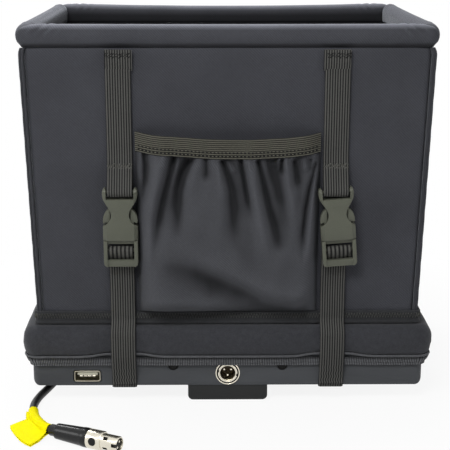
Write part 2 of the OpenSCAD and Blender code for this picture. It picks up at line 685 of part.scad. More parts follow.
// The right buckle hangs askew: it is turned about its strap bar
module at_buckle(side) at_strap(side) translate([0, 0, bar_z]) rotate([0, side > 0 ? -right_tilt : 0, 0])
    translate([0, 0, -bar_z]) children();

// Strip of webbing drawn across its width, from a path in Y and Z
module webbing(path) color(webbing_olive) rotate([90, 0, 90]) translate([0, 0, -strap_w / 2])
    linear_extrude(strap_w) polygon(strip(path, strap_t));

// Strap bar between the socket's ears and ladder bar of the plug
bar_d = 2;
bar_z = socket_h + ear_h - 2.3;
// Room that the askew bar needs inside the strap's loop
bar_room = strap_w / 2 * sin(right_tilt);
ladder_bar_d = 2;
ladder_bar_z = -6;
end_bar_h = 3.6;
wrap_r = bar_d / 2 + bar_room + soft / 2 + strap_t / 2;
fold_r = ladder_bar_d / 2 + soft + strap_t / 2;
lie = soft + strap_t / 2;
function arc(c, r, from, to, n) = [for (i = [0:n]) let (a = lerp(from, to, i / n)) c + r * [cos(a), sin(a)]];

// Upper strap: down the wall from the rim, round the strap bar and up behind itself to the bar tack
strap_head = (hood_top - buckle_z) / cos(flare) - 0.6;
tack_z = bar_z + 12.5;
upper_path = concat(
    [[lie, strap_head]],
    smooth([[lie, tack_z + 18], [lie, tack_z + 12], [lie + 0.05, tack_z + 7],
        [lie + strap_t + 0.25, tack_z + 0.5], [buckle_y - 0.4, bar_z + 6.2],
        [buckle_y + wrap_r, bar_z + 1.2]], 3),
    arc([buckle_y, bar_z], wrap_r, 0, -180, 10),
    smooth([[buckle_y - wrap_r, bar_z + 1.2], [buckle_y - wrap_r - 1, bar_z + 5.4],
        [lie + 0.1, bar_z + 9.6], [lie, tack_z]], 3));
module upper_strap(side) at_strap(side) webbing(upper_path);
module left_upper_strap() upper_strap(-1);
module right_upper_strap() upper_strap(1);

// Fold of the strap over the ladder bar, with the loose end behind the end bar
fold_foot = -9.4;
load_y = lie + 1.9;
tail_y = load_y + strap_t + 0.35;
fold_path = concat(
    smooth([[load_y + 0.1, fold_foot], [buckle_y - fold_r - 0.2, ladder_bar_z - 1.6]], 2),
    arc([buckle_y, ladder_bar_z], fold_r, 180, 0, 12),
    smooth([[buckle_y + fold_r - 0.3, ladder_bar_z - 1.4], [tail_y + 1.5, ladder_bar_z - 3.6],
        [tail_y, ladder_bar_z - 5.6], [tail_y, -ladder_h]], 3));
module strap_fold(side) at_buckle(side) webbing(fold_path);
module left_strap_fold() strap_fold(-1);
module right_strap_fold() strap_fold(1);

// Paths over the skirt: offset from the base's outline and height
pressed = seat_out + (skirt_out - seat_out) * (1 - strap_press);
over_skirt = pressed + soft + strap_t / 2 + 0.3;
over_band = seat_out + band_t + soft + strap_t / 2;
over_tape = wall_out + (tape_top - base_top) * lean + tape_t + soft + strap_t / 2 + 0.2;
under_z = base_z - soft - strap_t / 2;
wall_side = [[over_tape, tape_top + 1], [over_tape, tape_foot + 2.5], [over_skirt - 0.45, skirt_top - 2.6],
    [over_skirt, base_top + 3], [over_skirt, skirt_foot - 1], [over_band + 1, band_foot + 3.4],
    [over_band, band_foot - 1], [lie + 0.15, base_z + 4]];
under_turn = [[lie, base_z + 0.5], [lie - 0.2, base_z - 0.35], [lie - 0.75, under_z]];

// Point of a path over the skirt, as Y and Z of the object; rear is 1 at the back and -1 at the front
function outside(p, rear) = [rear * (base_d / 2 + p[0]), p[1]];

// Lower strap: from the plug's fold down the front over the skirt to the base's lower edge
plug_foot_z = buckle_z + fold_foot * cos(flare);
lower_gap = bar_room + 2 * soft;
lower_start = 6;
lower_land = tape_top + 11.8;
lower_path = smooth([
    for (z = [plug_foot_z - lower_gap, plug_foot_z - lower_start]) [-hood_y(z) - load_y, z],
    [-hood_y(lower_land) - lie - 0.8, lower_land],
    for (p = wall_side) outside(p, -1), [front_y - lie, base_z + 0.7]], 3);
module lower_strap(side) translate([side * strap_x, 0, 0]) webbing(lower_path);
module left_lower_strap() lower_strap(-1);
module right_lower_strap() lower_strap(1);

// Back strap: under the base, up over the skirt behind and up the rear wall to the rim
back_path = concat(
    [for (p = under_turn) outside(p, -1)],
    reversed([for (p = under_turn) outside(p, 1)]),
    smooth([for (p = reversed(wall_side)) outside(p, 1)], 3),
    [for (z = [tape_top + 8, hood_top - 0.6]) [hood_y(z) + lie, z]]);
module back_strap(side) translate([side * strap_x, 0, 0]) webbing(back_path);
module left_back_strap() back_strap(-1);
module right_back_strap() back_strap(1);

// Side-release buckle, in outline seen from the front

block_h = 7.6;
waist_z = 14.4;
mouth_half = buckle_w / 2 - 1.5;
mouth_t = buckle_t - 2.8;
mouth_h = socket_h - 3.5;
// Level of the socket's top between the ears, under the strap's loop
panel_top = bar_z - wrap_r - strap_t / 2 - soft - bar_room;
// Sloping flanks of the socket's front: how far in from the sides and how deep
flank = [2, 1.5];
back_edge = 0.8;

// Draws an outline in X and Z through a thickness t about the buckle's middle plane
module buckle_slab(t) translate([0, buckle_y + t / 2, 0]) rotate([90, 0, 0]) linear_extrude(t) children();

// Right side of the socket: upright block, waist that the fingers reach, and the ear that flares out again
function socket_side() = let (h = buckle_w / 2, top = socket_h + ear_h) concat(
    [[h, 0]],
    smooth([[h, block_h], [h - 2.7, block_h + 1.9], [waist + 0.4, waist_z - 2.5], [waist, waist_z],
        [waist + 0.8, waist_z + 2.7], [h - 1.9, socket_h - 3.2], [h - 0.5, socket_h - 1], [h, socket_h + 1.8],
        [h - 0.2, top - 1], [h - 0.9, top]], 3),
    [[h - rail_w + 0.4, top], [h - rail_w, top - 0.6], [h - rail_w, panel_top]]);
module socket_outline() polygon(concat(socket_side(), reversed([for (p = socket_side()) [-p[0], p[1]]])));

// Section of the socket seen along the strap, with its sloping flanks
module socket_section() {
    h = buckle_w / 2;
    t = buckle_t / 2;
    polygon([[back_edge - h, -t], [h - back_edge, -t], [h, back_edge - t], [h, t - flank[1]],
        [h - flank[0], t], [flank[0] - h, t], [-h, t - flank[1]], [-h, back_edge - t]]);
}

module buckle_socket(side) color(buckle_olive) at_buckle(side) {
    difference() {
        intersection() {
            buckle_slab(buckle_t) socket_outline();
            translate([0, buckle_y, -cut]) linear_extrude(socket_h + ear_h + 2 * cut) socket_section();
        }
        translate([-mouth_half, buckle_y - mouth_t / 2, -cut]) cube([2 * mouth_half, mouth_t, mouth_h + cut]);
        for (y = [-1, 1]) translate([0, buckle_y + y * (buckle_t / 2 + 0.9), socket_h + ear_h])
            rotate([0, 90, 0]) cylinder(r = 2.4, h = buckle_w + 2 * cut, center = true);
    }
    translate([0, buckle_y, bar_z]) rotate([0, 90, 0])
        cylinder(d = bar_d, h = buckle_w - rail_w, center = true);
}
module left_buckle_socket() buckle_socket(-1);
module right_buckle_socket() buckle_socket(1);

// Plug: ladder frame, cross bar and guide prong; the spring arms are pieces of their own
plug_gap = 0.4;
plug_t = buckle_t - 0.8;
cross_h = 1.8;
prong_w = 2.8;
prong_h = 16;
prong_t = mouth_t - 2 * play;
plug_half = buckle_w / 2 - 0.2;
plug_corner = 2.4;
end_step = 0.9;

module plug_frame_outline() difference() {
    union() {
        translate([-plug_half, -plug_gap - ladder_h + plug_corner])
            square([2 * plug_half, ladder_h - plug_corner]);
        translate([plug_corner - plug_half, -plug_gap - ladder_h])
            square([2 * (plug_half - plug_corner), ladder_h]);
        for (x = [-1, 1]) translate([x * (plug_half - plug_corner), plug_corner - plug_gap - ladder_h])
            circle(plug_corner);
    }
    translate([rail_w - plug_half, end_bar_h - plug_gap - ladder_h])
        square([2 * (plug_half - rail_w), ladder_h]);
}

module buckle_plug(side) color(buckle_olive) at_buckle(side) {
    difference() {
        buckle_slab(plug_t) plug_frame_outline();
        translate([rail_w - plug_half, 0, -plug_gap - ladder_h - cut])
            cube([2 * (plug_half - rail_w), tail_y + strap_t / 2 + soft, end_bar_h + 2 * cut]);
        translate([rail_w - plug_half, buckle_y + plug_t / 2 - end_step, -plug_gap - ladder_h - cut])
            cube([2 * (plug_half - rail_w), plug_t, end_bar_h + 2 * cut]);
        translate([-buckle_w / 2, 0, -plug_gap - ladder_h - cut])
            cube([buckle_w, load_y + strap_t / 2 + soft, fold_foot + plug_gap + ladder_h + cut + bar_room]);
    }
    translate([0, buckle_y, ladder_bar_z]) rotate([0, 90, 0])
        cylinder(d = ladder_bar_d, h = 2 * plug_half - rail_w, center = true);
    translate([-plug_half + rail_w / 2, buckle_y - prong_t / 2, -plug_gap - cross_h])
        cube([2 * plug_half - rail_w, prong_t, cross_h]);
    translate([-prong_w / 2, buckle_y - prong_t / 2, -plug_gap - cross_h / 2])
        cube([prong_w, prong_t, prong_h + cross_h / 2]);
}
module left_buckle_plug() buckle_plug(-1);
module right_buckle_plug() buckle_plug(1);

// Spring arm: a round root on the cross bar, a stem, and a head that bulges out of the socket's window
root_x = mouth_half - arm_t / 2 - 0.6;
root_z = arm_t / 2 - plug_gap + seat;
head_r = 8.2;
head_tip_z = 17.4;
shoulder_out = buckle_w / 2 - 0.1;
shoulder_gap = 0.95;
module arm_outline() {
    translate([root_x, root_z]) circle(arm_t / 2);
    translate([root_x - arm_t / 2, root_z]) square([arm_t, waist_z - root_z]);
    intersection() {
        translate([shoulder_out - head_r, waist_z - 3.6]) circle(head_r);
        polygon([[root_x - arm_t / 2, block_h + shoulder_gap + 1.4],
            [root_x + arm_t / 2, block_h + shoulder_gap + 1.4], [shoulder_out + 1, block_h + shoulder_gap],
            [shoulder_out + 1, head_tip_z], [root_x - arm_t / 2, head_tip_z]]);
    }
}
module buckle_arm(side, hand) color(buckle_olive) at_buckle(side) scale([hand, 1, 1])
    buckle_slab(prong_t) arm_outline();
module left_buckle_left_arm() buckle_arm(-1, -1);
module left_buckle_right_arm() buckle_arm(-1, 1);
module right_buckle_left_arm() buckle_arm(1, -1);
module right_buckle_right_arm() buckle_arm(1, 1);

// Lead: the gland under the base, the cable on the floor, its flag and the connector

// Hand-chosen route of the cable, from inside the gland to inside the connector's sleeve
lead_route = [
    [-90.6, -40.5, 4.6], [-93, -46, 4.6], [-96.5, -54, 4.2], [-99.8, -62.5, 3.2], [-102.6, -71, 2.5],
    [-105, -79.5, 2.4], [-106.6, -88.5, 2.4], [-106.8, -97.5, 2.6], [-105.5, -105.8, 2.9],
    [-103.7, -113.2, 3.3], [-101, -120, 3.9], [-98.2, -125.8, 4.5], [-95.6, -130.2, 5],
    [-92.4, -133.2, 5.2], [-88.8, -135, 5.2]
];
cable_sides = 10;
cable_per_step = 2;

// Ring of n points and radius r at the point i of the list p, square to it and level sideways
function tube_ring(p, i, r, n) = let (d = unit(p[min(i + 1, len(p) - 1)] - p[max(i - 1, 0)]),
    s = unit(cross(d, [0, 0, 1])), u = cross(s, d))
    [for (j = [0:n - 1]) let (a = 360 * j / n) p[i] + r * (cos(a) * s + sin(a) * u)];
module tube(p, r) loft([for (i = [0:len(p) - 1]) tube_ring(p, i, r, cable_sides)]);

module lead_cable() color(cable_black) tube(smooth(lead_route, cable_per_step), cable_d / 2);

// Gland: a foot plate and a tapered sleeve on the base's underside, pointing along the cable's start
gland_mouth = lead_route[1];
gland_axis = gland_mouth - lead_route[0];
gland_heading = atan2(gland_axis[1], gland_axis[0]);
gland_l = 15;
gland_r = 3.9;
gland_tip_r = 3.1;
gland_bore_r = cable_d / 2 + seat;
gland_foot_w = 11;
module cable_gland() color(insert_black) translate([gland_mouth[0], gland_mouth[1], 0]) rotate(gland_heading)
    difference() {
        union() {
            translate([-gland_l, 0, gland_mouth[2]]) rotate([0, 90, 0])
                cylinder(r1 = gland_r, r2 = gland_tip_r, h = gland_l);
            translate([-gland_l, -gland_foot_w / 2, base_z - 1.4])
                cube([gland_l - 4, gland_foot_w, 1.4 - 0.02]);
            translate([-gland_l, -gland_tip_r, gland_mouth[2]])
                cube([gland_l - 4, 2 * gland_tip_r, base_z - gland_mouth[2] - 0.1]);
        }
        translate([4 - gland_l, 0, gland_mouth[2]]) rotate([0, 90, 0])
            cylinder(r = gland_bore_r, h = gland_l);
    }

// Wrapped flag on the cable: one strip that goes round it, with its two ends laid together on the floor
flag_from = 7.7;
flag_to = 12.8;
flag_steps = 12;
flag_t = 0.4;
flag_l = 14;
flag_stub = 4.6;
flag_leaf_from = 9;
flag_leaf_to = 9.25;
flag_far = 0.5;
flag_mid = 1.6;
flag_wrap = [-8, 300];
flag_wrap_steps = 12;
// Path of the strip in a section at height h of the cable, sideways and up from the cable's middle
function flag_path(h, l) = let (r = cable_d / 2 + seat + flag_t / 2, layer = 2 * flag_t + 0.15,
    far = lerp(0.6 * h, flag_far, (l - flag_stub) / (flag_l - flag_stub))) concat(
    [[l, far - h + layer], [l / 2 + 1, (far + flag_mid) / 2 - h + layer], [r + 1, -0.25 * h]],
    arc([0, 0], r, flag_wrap[0], flag_wrap[1], flag_wrap_steps),
    [[r + 0.8, -0.25 * h - layer - 0.3], [l / 2 + 1, (far + flag_mid) / 2 - h], [l, far - h]]);
function flag_row(t, side) = let (p = curve_at(lead_route, t), d = unit(curve_at(lead_route, t + 0.05) - p),
    s = unit(cross(d, [0, 0, 1])),
    reach = min(max((t - flag_leaf_from) / (flag_leaf_to - flag_leaf_from), 0), 1),
    path = flag_path(p[2], lerp(flag_stub, flag_l, reach)))
    [for (i = [0:len(path) - 1]) let (q = path[i] + strip_normal(path, i) * side * flag_t / 2)
        [p[0] + q[0] * s[0], p[1] + q[0] * s[1], p[2] + q[1]]];
function flag_face(side) =
    [for (i = [0:flag_steps]) flag_row(lerp(flag_from, flag_to, i / flag_steps), side)];
module lead_flag() color(flag_yellow) sheet(flag_face(1), flag_face(-1));

// Connector frame: origin where the cable enters, Z along the connector
lead_end = lead_route[len(lead_route) - 2];
lead_axis = lead_route[len(lead_route) - 1] - lead_end;
lead_heading = atan2(lead_axis[1], lead_axis[0]);
lead_rise = ring_d / 2 + 0.1;
module at_lead() translate([lead_end[0], lead_end[1], lead_rise]) rotate([0, 90, lead_heading]) children();

collar_l = 3.6;
collar_r = cable_d / 2 + 0.9;
sleeve_r0 = 4.1;
spigot_l = 4;
spigot_r = ring_d / 2 - 1.1;
bore_r = spigot_r - 0.7;
shell_z = sleeve_l + 0.1;
nose_z = shell_z + ring_l;
tip_z = nose_z + nose_l;
nose_r = nose_d / 2;
insert_r = bore_r - seat;
button_z = shell_z + ring_l * 0.5;
button_roll = -98;
button_proud = 0.35;
button_l = ring_d / 2 - bore_r + button_proud + 0.3;
button_travel_room = 1.4;

module sleeve_bore() rotate_extrude() polygon([[0, -cut], [cable_d / 2 + seat, -cut],
    [cable_d / 2 + seat, collar_l + 4], [spigot_r - 0.9, collar_l + 8],
    [spigot_r - 0.9, sleeve_l - spigot_l - seat], [spigot_r + seat, sleeve_l - spigot_l - seat],
    [spigot_r + seat, sleeve_l + cut], [0, sleeve_l + cut]]);
module lead_sleeve() color(cable_black) at_lead() difference() {
    rotate_extrude() polygon([[0, 0], [collar_r - 0.3, 0], [collar_r, 0.6], [collar_r, collar_l],
        [sleeve_r0 - 0.5, collar_l], [sleeve_r0, collar_l + 0.6], [ring_d / 2 - 0.2, sleeve_l - 4],
        [ring_d / 2, sleeve_l - 3], [ring_d / 2, sleeve_l], [0, sleeve_l]]);
    sleeve_bore();
}

// Turns to the side of the connector on which the latch button sits
module at_button() rotate(button_roll) translate([0, 0, button_z]) rotate([0, 90, 0]) children();
slot_w = 1.8;
slot_l = 2.6;
module lead_shell() color(nickel) at_lead() difference() {
    rotate_extrude() polygon([[bore_r, shell_z - spigot_l], [spigot_r, shell_z - spigot_l],
        [spigot_r, shell_z], [ring_d / 2 - 0.3, shell_z], [ring_d / 2, shell_z + 0.3],
        [ring_d / 2, nose_z - 0.4], [ring_d / 2 - 0.5, nose_z], [nose_r, nose_z],
        [nose_r, tip_z - 0.4], [nose_r - 0.4, tip_z], [bore_r, tip_z]]);
    at_button() cylinder(d = button_d + 2 * play, h = ring_d);
    for (a = [-40, 40, 180]) rotate(button_roll + a) translate([nose_r, 0, nose_z + 2.6])
        cube([nose_r, slot_w, slot_l], center = true);
    rotate(button_roll) translate([nose_r, 0, tip_z])
        cube([nose_r, slot_w, 2 * slot_l], center = true);
}

lead_pin_circle = 1.9;
lead_pin_d = 1.5;
module lead_insert() color(insert_black) at_lead() difference() {
    translate([0, 0, shell_z + 0.5]) cylinder(r = insert_r, h = tip_z - shell_z - 1.5);
    for (a = pin_angles) rotate(a + button_roll) translate([lead_pin_circle, 0, shell_z])
        cylinder(d = lead_pin_d + seat, h = tip_z, $fn = 24);
    at_button() translate([0, 0, bore_r - button_travel_room]) cylinder(d = button_d + 4 * play, h = ring_d);
}

module lead_contacts() color(nickel) at_lead() for (a = pin_angles) rotate(a + button_roll)
    translate([lead_pin_circle, 0, shell_z + 8]) difference() {
        cylinder(d = lead_pin_d, h = tip_z - shell_z - 9.2, $fn = 24);
        translate([0, 0, 3]) cylinder(d = lead_pin_d - 0.5, h = tip_z, $fn = 24);
    }

module lead_latch_button() color(insert_black) at_lead() at_button()
    translate([0, 0, ring_d / 2 + button_proud - button_l]) cylinder(d = button_d, h = button_l);

base_tray();
top_frame();
display_glass();
display_panel();
main_board();
battery_pack();
usb_socket();
usb_tongue();
panel_connector_shell();
panel_connector_nut();
panel_connector_insert();
panel_connector_pins();
mount_shoe();
shoe_screws();
housing_screws();
front_screws();
cable_gland();
front_panel();
rear_panel();
left_panel();
right_panel();
front_board();
rear_board();
left_board();
right_board();
front_rim();
rear_rim();
left_rim();
right_rim();
corner_piping();
binding_tape();
skirt();
hem_piping();
elastic_band();
pocket();
pocket_band();
left_upper_strap();
right_upper_strap();
left_lower_strap();
right_lower_strap();
left_back_strap();
right_back_strap();
left_strap_fold();
right_strap_fold();
left_buckle_socket();
right_buckle_socket();
left_buckle_plug();
right_buckle_plug();
left_buckle_left_arm();
left_buckle_right_arm();
right_buckle_left_arm();
right_buckle_right_arm();
lead_cable();
lead_flag();
lead_sleeve();
lead_shell();
lead_insert();
lead_contacts();
lead_latch_button();
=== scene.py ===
"""Looks of a slim field unit in a padded, open-top hood with pocket, straps and buckles."""

import json
import math

import bmesh
import bpy
import numpy as np
from mathutils import Matrix, Vector


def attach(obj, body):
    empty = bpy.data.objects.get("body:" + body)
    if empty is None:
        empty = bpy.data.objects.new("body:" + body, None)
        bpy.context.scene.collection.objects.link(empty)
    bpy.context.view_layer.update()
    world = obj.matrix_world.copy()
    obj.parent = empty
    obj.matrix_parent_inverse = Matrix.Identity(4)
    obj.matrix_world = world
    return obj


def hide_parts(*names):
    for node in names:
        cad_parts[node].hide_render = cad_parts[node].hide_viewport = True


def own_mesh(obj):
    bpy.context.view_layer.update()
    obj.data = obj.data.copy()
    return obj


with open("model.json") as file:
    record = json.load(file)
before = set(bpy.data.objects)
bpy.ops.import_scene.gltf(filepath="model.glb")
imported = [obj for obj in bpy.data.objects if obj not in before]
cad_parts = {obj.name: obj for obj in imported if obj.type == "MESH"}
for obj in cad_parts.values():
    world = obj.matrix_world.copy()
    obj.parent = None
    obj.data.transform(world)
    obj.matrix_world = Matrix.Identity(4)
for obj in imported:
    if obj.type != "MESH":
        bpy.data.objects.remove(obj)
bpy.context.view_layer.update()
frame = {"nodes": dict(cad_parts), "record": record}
NODES = frame["nodes"]
BODY_OF = {n: b for b, ns in frame["record"]["behaviour"]["bodies"].items() for n in ns}
SLOT_OF = {p["node"]: p["material_slot"] for p in frame["record"]["subparts"]}

# Metres in a millimetre, and centimetres for UVs
MM, CM = 0.001, 0.1

# Sizes in millimetres, as in the part's source
BASE_W, BASE_D, BASE_Z, BASE_TOP, EDGE_R = 218.0, 164.0, 9.0, 34.0, 4.0
FLARE, TILT = math.radians(1.6), math.radians(4.5)
INSET, LEAN = 3.5, math.tan(FLARE)
WALL_T, HOOD_TOP, PIPING = 7.0, 197.0, 3.0
RIM_H, RIM_OVER, RIM_T, SAG = 12.5, 1.0, 9.0, 1.7
SKIRT_OUT, PRESS, SEAT_OUT = 5.3, 0.45, 1.0
SOFT, SEAT = 0.2, 0.15
TAPE_H, TAPE_T = 7.6, 1.2
POCKET_W, POCKET_H = 98.8, 89.8
BAND_H, BAND_T = 10.6, 1.4
BULGE, BOW, BAND_SAG = 12.0, 8.2, 2.4
STRAP_X, STRAP_W, STRAP_T = 57.7, 13.6, 1.2
BUCKLE_Z, BUCKLE_Y = 95.0, 5.8

# Ribs of the elastic and threads of the cloth, which only the looks have
BAND_RIBS, STRAP_RIBS, LOOP_RIBS, RIB_POINTS = 10, 10, 6, 8
LOOP_W, GATHER, WEFT, THREAD_R = STRAP_W - 0.3, 0.95, 0.75, 0.3


def hood_x(z):
    """Half the hood's width at height z."""
    return BASE_W / 2 - INSET + (z - BASE_TOP) * LEAN


def hood_y(z):
    """Half the hood's depth at height z."""
    return BASE_D / 2 - INSET + (z - BASE_TOP) * LEAN


# Number helpers


def curve_at(points, t):
    """Point of the Catmull-Rom curve through points, t spans from its start."""
    last = len(points) - 1
    i = min(int(t), last - 1)
    f = t - i
    a, b, c, d = points[max(i - 1, 0)], points[i], points[i + 1], points[min(i + 2, last)]
    return 0.5 * (2 * b + (c - a) * f + (2 * a - 5 * b + 4 * c - d) * f**2 + (3 * b - a - 3 * c + d) * f**3)


def smooth(points, per):
    """Smooth curve through points, per samples to each span."""
    p = np.asarray(points, float)
    return np.array([curve_at(p, k / per) for k in range((len(p) - 1) * per)] + [p[-1]])


def run(points, axis=0):
    """Length along each line of points, from 0 at its start."""
    steps = np.linalg.norm(np.diff(points, axis=axis), axis=-1)
    return np.insert(np.cumsum(steps, axis), 0, 0, axis)


def even(points, step):
    """Points along a polyline, evenly spaced by about step."""
    p = np.asarray(points, float)
    s = run(p)
    t = np.linspace(0, s[-1], max(int(round(s[-1] / step)), 2) + 1)
    return np.stack([np.interp(t, s, p[:, k]) for k in range(p.shape[1])], 1)


def stack(*parts):
    """Points or UVs from their coordinates, each spread over the rows and columns of the others."""
    return np.stack(np.broadcast_arrays(*parts), -1)


def arc(c, r, a0, a1, n):
    """Arc of n steps round c, between two angles in degrees."""
    t = np.radians(np.linspace(a0, a1, n + 1))
    return stack(c[0] + r * np.cos(t), c[1] + r * np.sin(t))


def crowded(count, share):
    """Places from -1 to 1 that crowd towards both ends, by the given share."""
    t = np.linspace(-1, 1, count)
    return (1 - share) * t + share * np.sin(t * np.pi / 2)


def tangents(path, closed=False):
    """Unit directions along a path."""
    d = np.roll(path, -1, 0) - np.roll(path, 1, 0) if closed else np.gradient(path, axis=0)
    return d / np.linalg.norm(d, axis=1, keepdims=True)


def normals(path):
    """Unit directions at the left of a flat path."""
    d = tangents(path)
    return stack(-d[:, 1], d[:, 0])


def ripple(x, y, seed, size, count=7):
    """Smooth seeded unevenness from about -1 to 1, with features of about the given size."""
    rng = np.random.default_rng(seed)
    out = 0
    for _ in range(count):
        a, ph = rng.uniform(0, 2 * np.pi, 2)
        k = 2 * np.pi / (size * rng.uniform(0.7, 1.7))
        out = out + np.sin(k * (np.cos(a) * x + np.sin(a) * y) + ph)
    return out / math.sqrt(count * 2.0)


def hump(d, w):
    """Bell of half width w at distance d from its middle."""
    return np.exp(-((d / w) ** 2))


def gate(d, w):
    """Soft step from 0 to 1 where d passes 0, over about the width w."""
    return 1 / (1 + np.exp(-d / w))


def ramp(x, start, width):
    """0 up to start, then rising evenly to 1 over the width, or falling if the width is negative."""
    return np.clip((x - start) / width, 0, 1)


def line_distance(x, y, pts):
    """Distance of the points x, y from a polyline, and how far along it they are, 0 to 1."""
    pts = np.asarray(pts, float)
    best = np.full(np.shape(x), 1e9)
    along = np.zeros(np.shape(x))
    n = len(pts) - 1
    for i in range(n):
        a, d = pts[i], pts[i + 1] - pts[i]
        t = np.clip(((x - a[0]) * d[0] + (y - a[1]) * d[1]) / (d @ d), 0, 1)
        r = np.hypot(x - a[0] - t * d[0], y - a[1] - t * d[1])
        near = r < best
        best = np.where(near, r, best)
        along = np.where(near, (i + t) / n, along)
    return best, along


# Mesh helpers; coordinates come in millimetres


def link(name, data):
    """Object with the given data, linked to the scene."""
    obj = bpy.data.objects.new(name, data)
    bpy.context.scene.collection.objects.link(obj)
    return obj


def add_piece(name, verts, faces, material, uvs=None, smooth_shade=True):
    """Piece from points and faces, with UVs in centimetres."""
    mesh = bpy.data.meshes.new(name)
    mesh.from_pydata((verts * MM).tolist(), [], faces)
    if uvs is not None:
        layer = mesh.uv_layers.new(name="UVMap")
        loops = np.zeros(len(mesh.loops), int)
        mesh.loops.foreach_get("vertex_index", loops)
        layer.data.foreach_set("uv", (uvs.reshape(-1, 2) * CM)[loops].astype(np.float32).ravel())
    mesh.validate()
    mesh.materials.append(material)
    bm = bmesh.new()
    bm.from_mesh(mesh)
    bmesh.ops.recalc_face_normals(bm, faces=bm.faces)
    bm.to_mesh(mesh)
    bm.free()
    for p in mesh.polygons:
        p.use_smooth = smooth_shade
    return link(name, mesh)


def grid_faces(m, n, loop_u=False, loop_v=False, caps=False, first=0):
    """Faces of a grid of m rows of n points, closed round rows or columns, with end caps."""
    rows = first + np.arange(m * n).reshape(m, n)
    net = np.vstack([rows, rows[:1]]) if loop_u else rows
    net = np.hstack([net, net[:, :1]]) if loop_v else net
    faces = np.stack([net[:-1, :-1], net[1:, :-1], net[1:, 1:], net[:-1, 1:]], -1).reshape(-1, 4).tolist()
    if caps:
        faces += [rows[0].tolist(), rows[-1, ::-1].tolist()]
    return faces


def grid_piece(name, grids, material, uv=None, ring=False, smooth_shade=True):
    """Piece from grids of points, closed round their columns and capped, or joined end to end as a ring."""
    faces, first = [], 0
    for grid in grids:
        m, n = grid.shape[:2]
        faces += grid_faces(m, n, loop_u=ring, loop_v=True, caps=not ring, first=first)
        first += m * n
    verts = np.concatenate([grid.reshape(-1, 3) for grid in grids])
    return add_piece(name, verts, faces, material, uv, smooth_shade)


def shell_piece(name, inner, outer, material):
    """Closed sheet between two grids of points."""
    m, n = inner.shape[:2]
    rows = np.arange(m * n).reshape(m, n)
    border = np.concatenate([rows[0, :-1], rows[:-1, -1], rows[-1, :0:-1], rows[:0:-1, 0]])
    beside = np.roll(border, -1)
    edges = np.stack([border, beside, beside + m * n, border + m * n], 1)
    faces = grid_faces(m, n) + grid_faces(m, n, first=m * n) + edges.tolist()
    verts = np.concatenate([inner.reshape(-1, 3), outer.reshape(-1, 3)])
    middle = (inner + outer) / 2
    uv = stack(run(middle, 0), run(middle, 1))
    return add_piece(name, verts, faces, material, np.concatenate([uv, uv]))


def rings(path, ways, radius, up, sides=6):
    """Rings of points round a path, square to the given ways along it."""
    side = np.cross(ways, up)
    side /= np.linalg.norm(side, axis=1, keepdims=True)
    over = np.cross(side, ways)
    turn = (np.arange(sides) * 2 * np.pi / sides)[:, None]
    radius = np.broadcast_to(radius, len(path))[:, None, None]
    return path[:, None] + radius * (np.cos(turn) * side[:, None] + np.sin(turn) * over[:, None])


# How far along a stitch each of its rings lies, and their share of its radius
STITCH_ALONG = np.array([0.0, 0.14, 0.5, 0.86, 1.0])[:, None]
STITCH_TAPER = np.array([0.35, 0.85, 1.0, 0.85, 0.35])
ASLANT = (0.31, 0.77, 0.55)


def stitches(name, ends, radius, material):
    """Short thread stitches, each from one point to another, as small tapered capsules."""
    grids = []
    for a, b in np.asarray(ends, float):
        path = a + (b - a) * STITCH_ALONG
        grids.append(rings(path, tangents(path), radius * STITCH_TAPER, ASLANT))
    return grid_piece(name, grids, material)


def store_painted_shade(obj, values):
    """Stores each point's painted shade and highlight: 0 in a hollow, darkest, to 1 on a ridge, lightest."""
    layer = obj.data.attributes.new("fold", "FLOAT", "POINT")
    layer.data.foreach_set("value", np.clip(values, 0, 1).astype(np.float32).ravel())
    return obj


def turned(obj, turn):
    """Turns a piece about the object's upright axis."""
    obj.data.transform(Matrix.Rotation(turn, 4, "Z"))
    return obj


def ride_on(obj, body, slot):
    """The piece rides on a body; its slot is not used."""
    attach(obj, body)
    return obj


def settle(obj, node):
    """The piece stands for a node and rides on the node's body."""
    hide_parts(node)
    return ride_on(obj, BODY_OF[node], SLOT_OF[node])


WELD, FLAT_ANGLE, EDGE_ANGLE, SHADE_ANGLE = 2e-6, math.radians(0.5), math.radians(28), math.radians(38)


def refine(node, material, bevel, segments=2):
    """Copy of a rigid CAD node with small rounded edges."""
    mesh = NODES[node].data.copy()
    bm = bmesh.new()
    bm.from_mesh(mesh)
    bmesh.ops.remove_doubles(bm, verts=bm.verts, dist=WELD)
    bmesh.ops.dissolve_limit(bm, angle_limit=FLAT_ANGLE, verts=bm.verts, edges=bm.edges)
    sharp = [e for e in bm.edges if len(e.link_faces) == 2 and e.calc_face_angle(0) > EDGE_ANGLE]
    if bevel:
        bmesh.ops.bevel(bm, geom=sharp, offset=bevel * MM, segments=segments, profile=0.5,
                        affect="EDGES", clamp_overlap=True)
    bmesh.ops.triangulate(bm, faces=[f for f in bm.faces if len(f.verts) > 4])
    bm.to_mesh(mesh)
    bm.free()
    mesh.materials.clear()
    mesh.materials.append(material)
    for p in mesh.polygons:
        p.use_smooth = True
        p.material_index = 0
    mesh.set_sharp_from_angle(angle=SHADE_ANGLE)
    return settle(link(node + "_piece", mesh), node)


# Materials


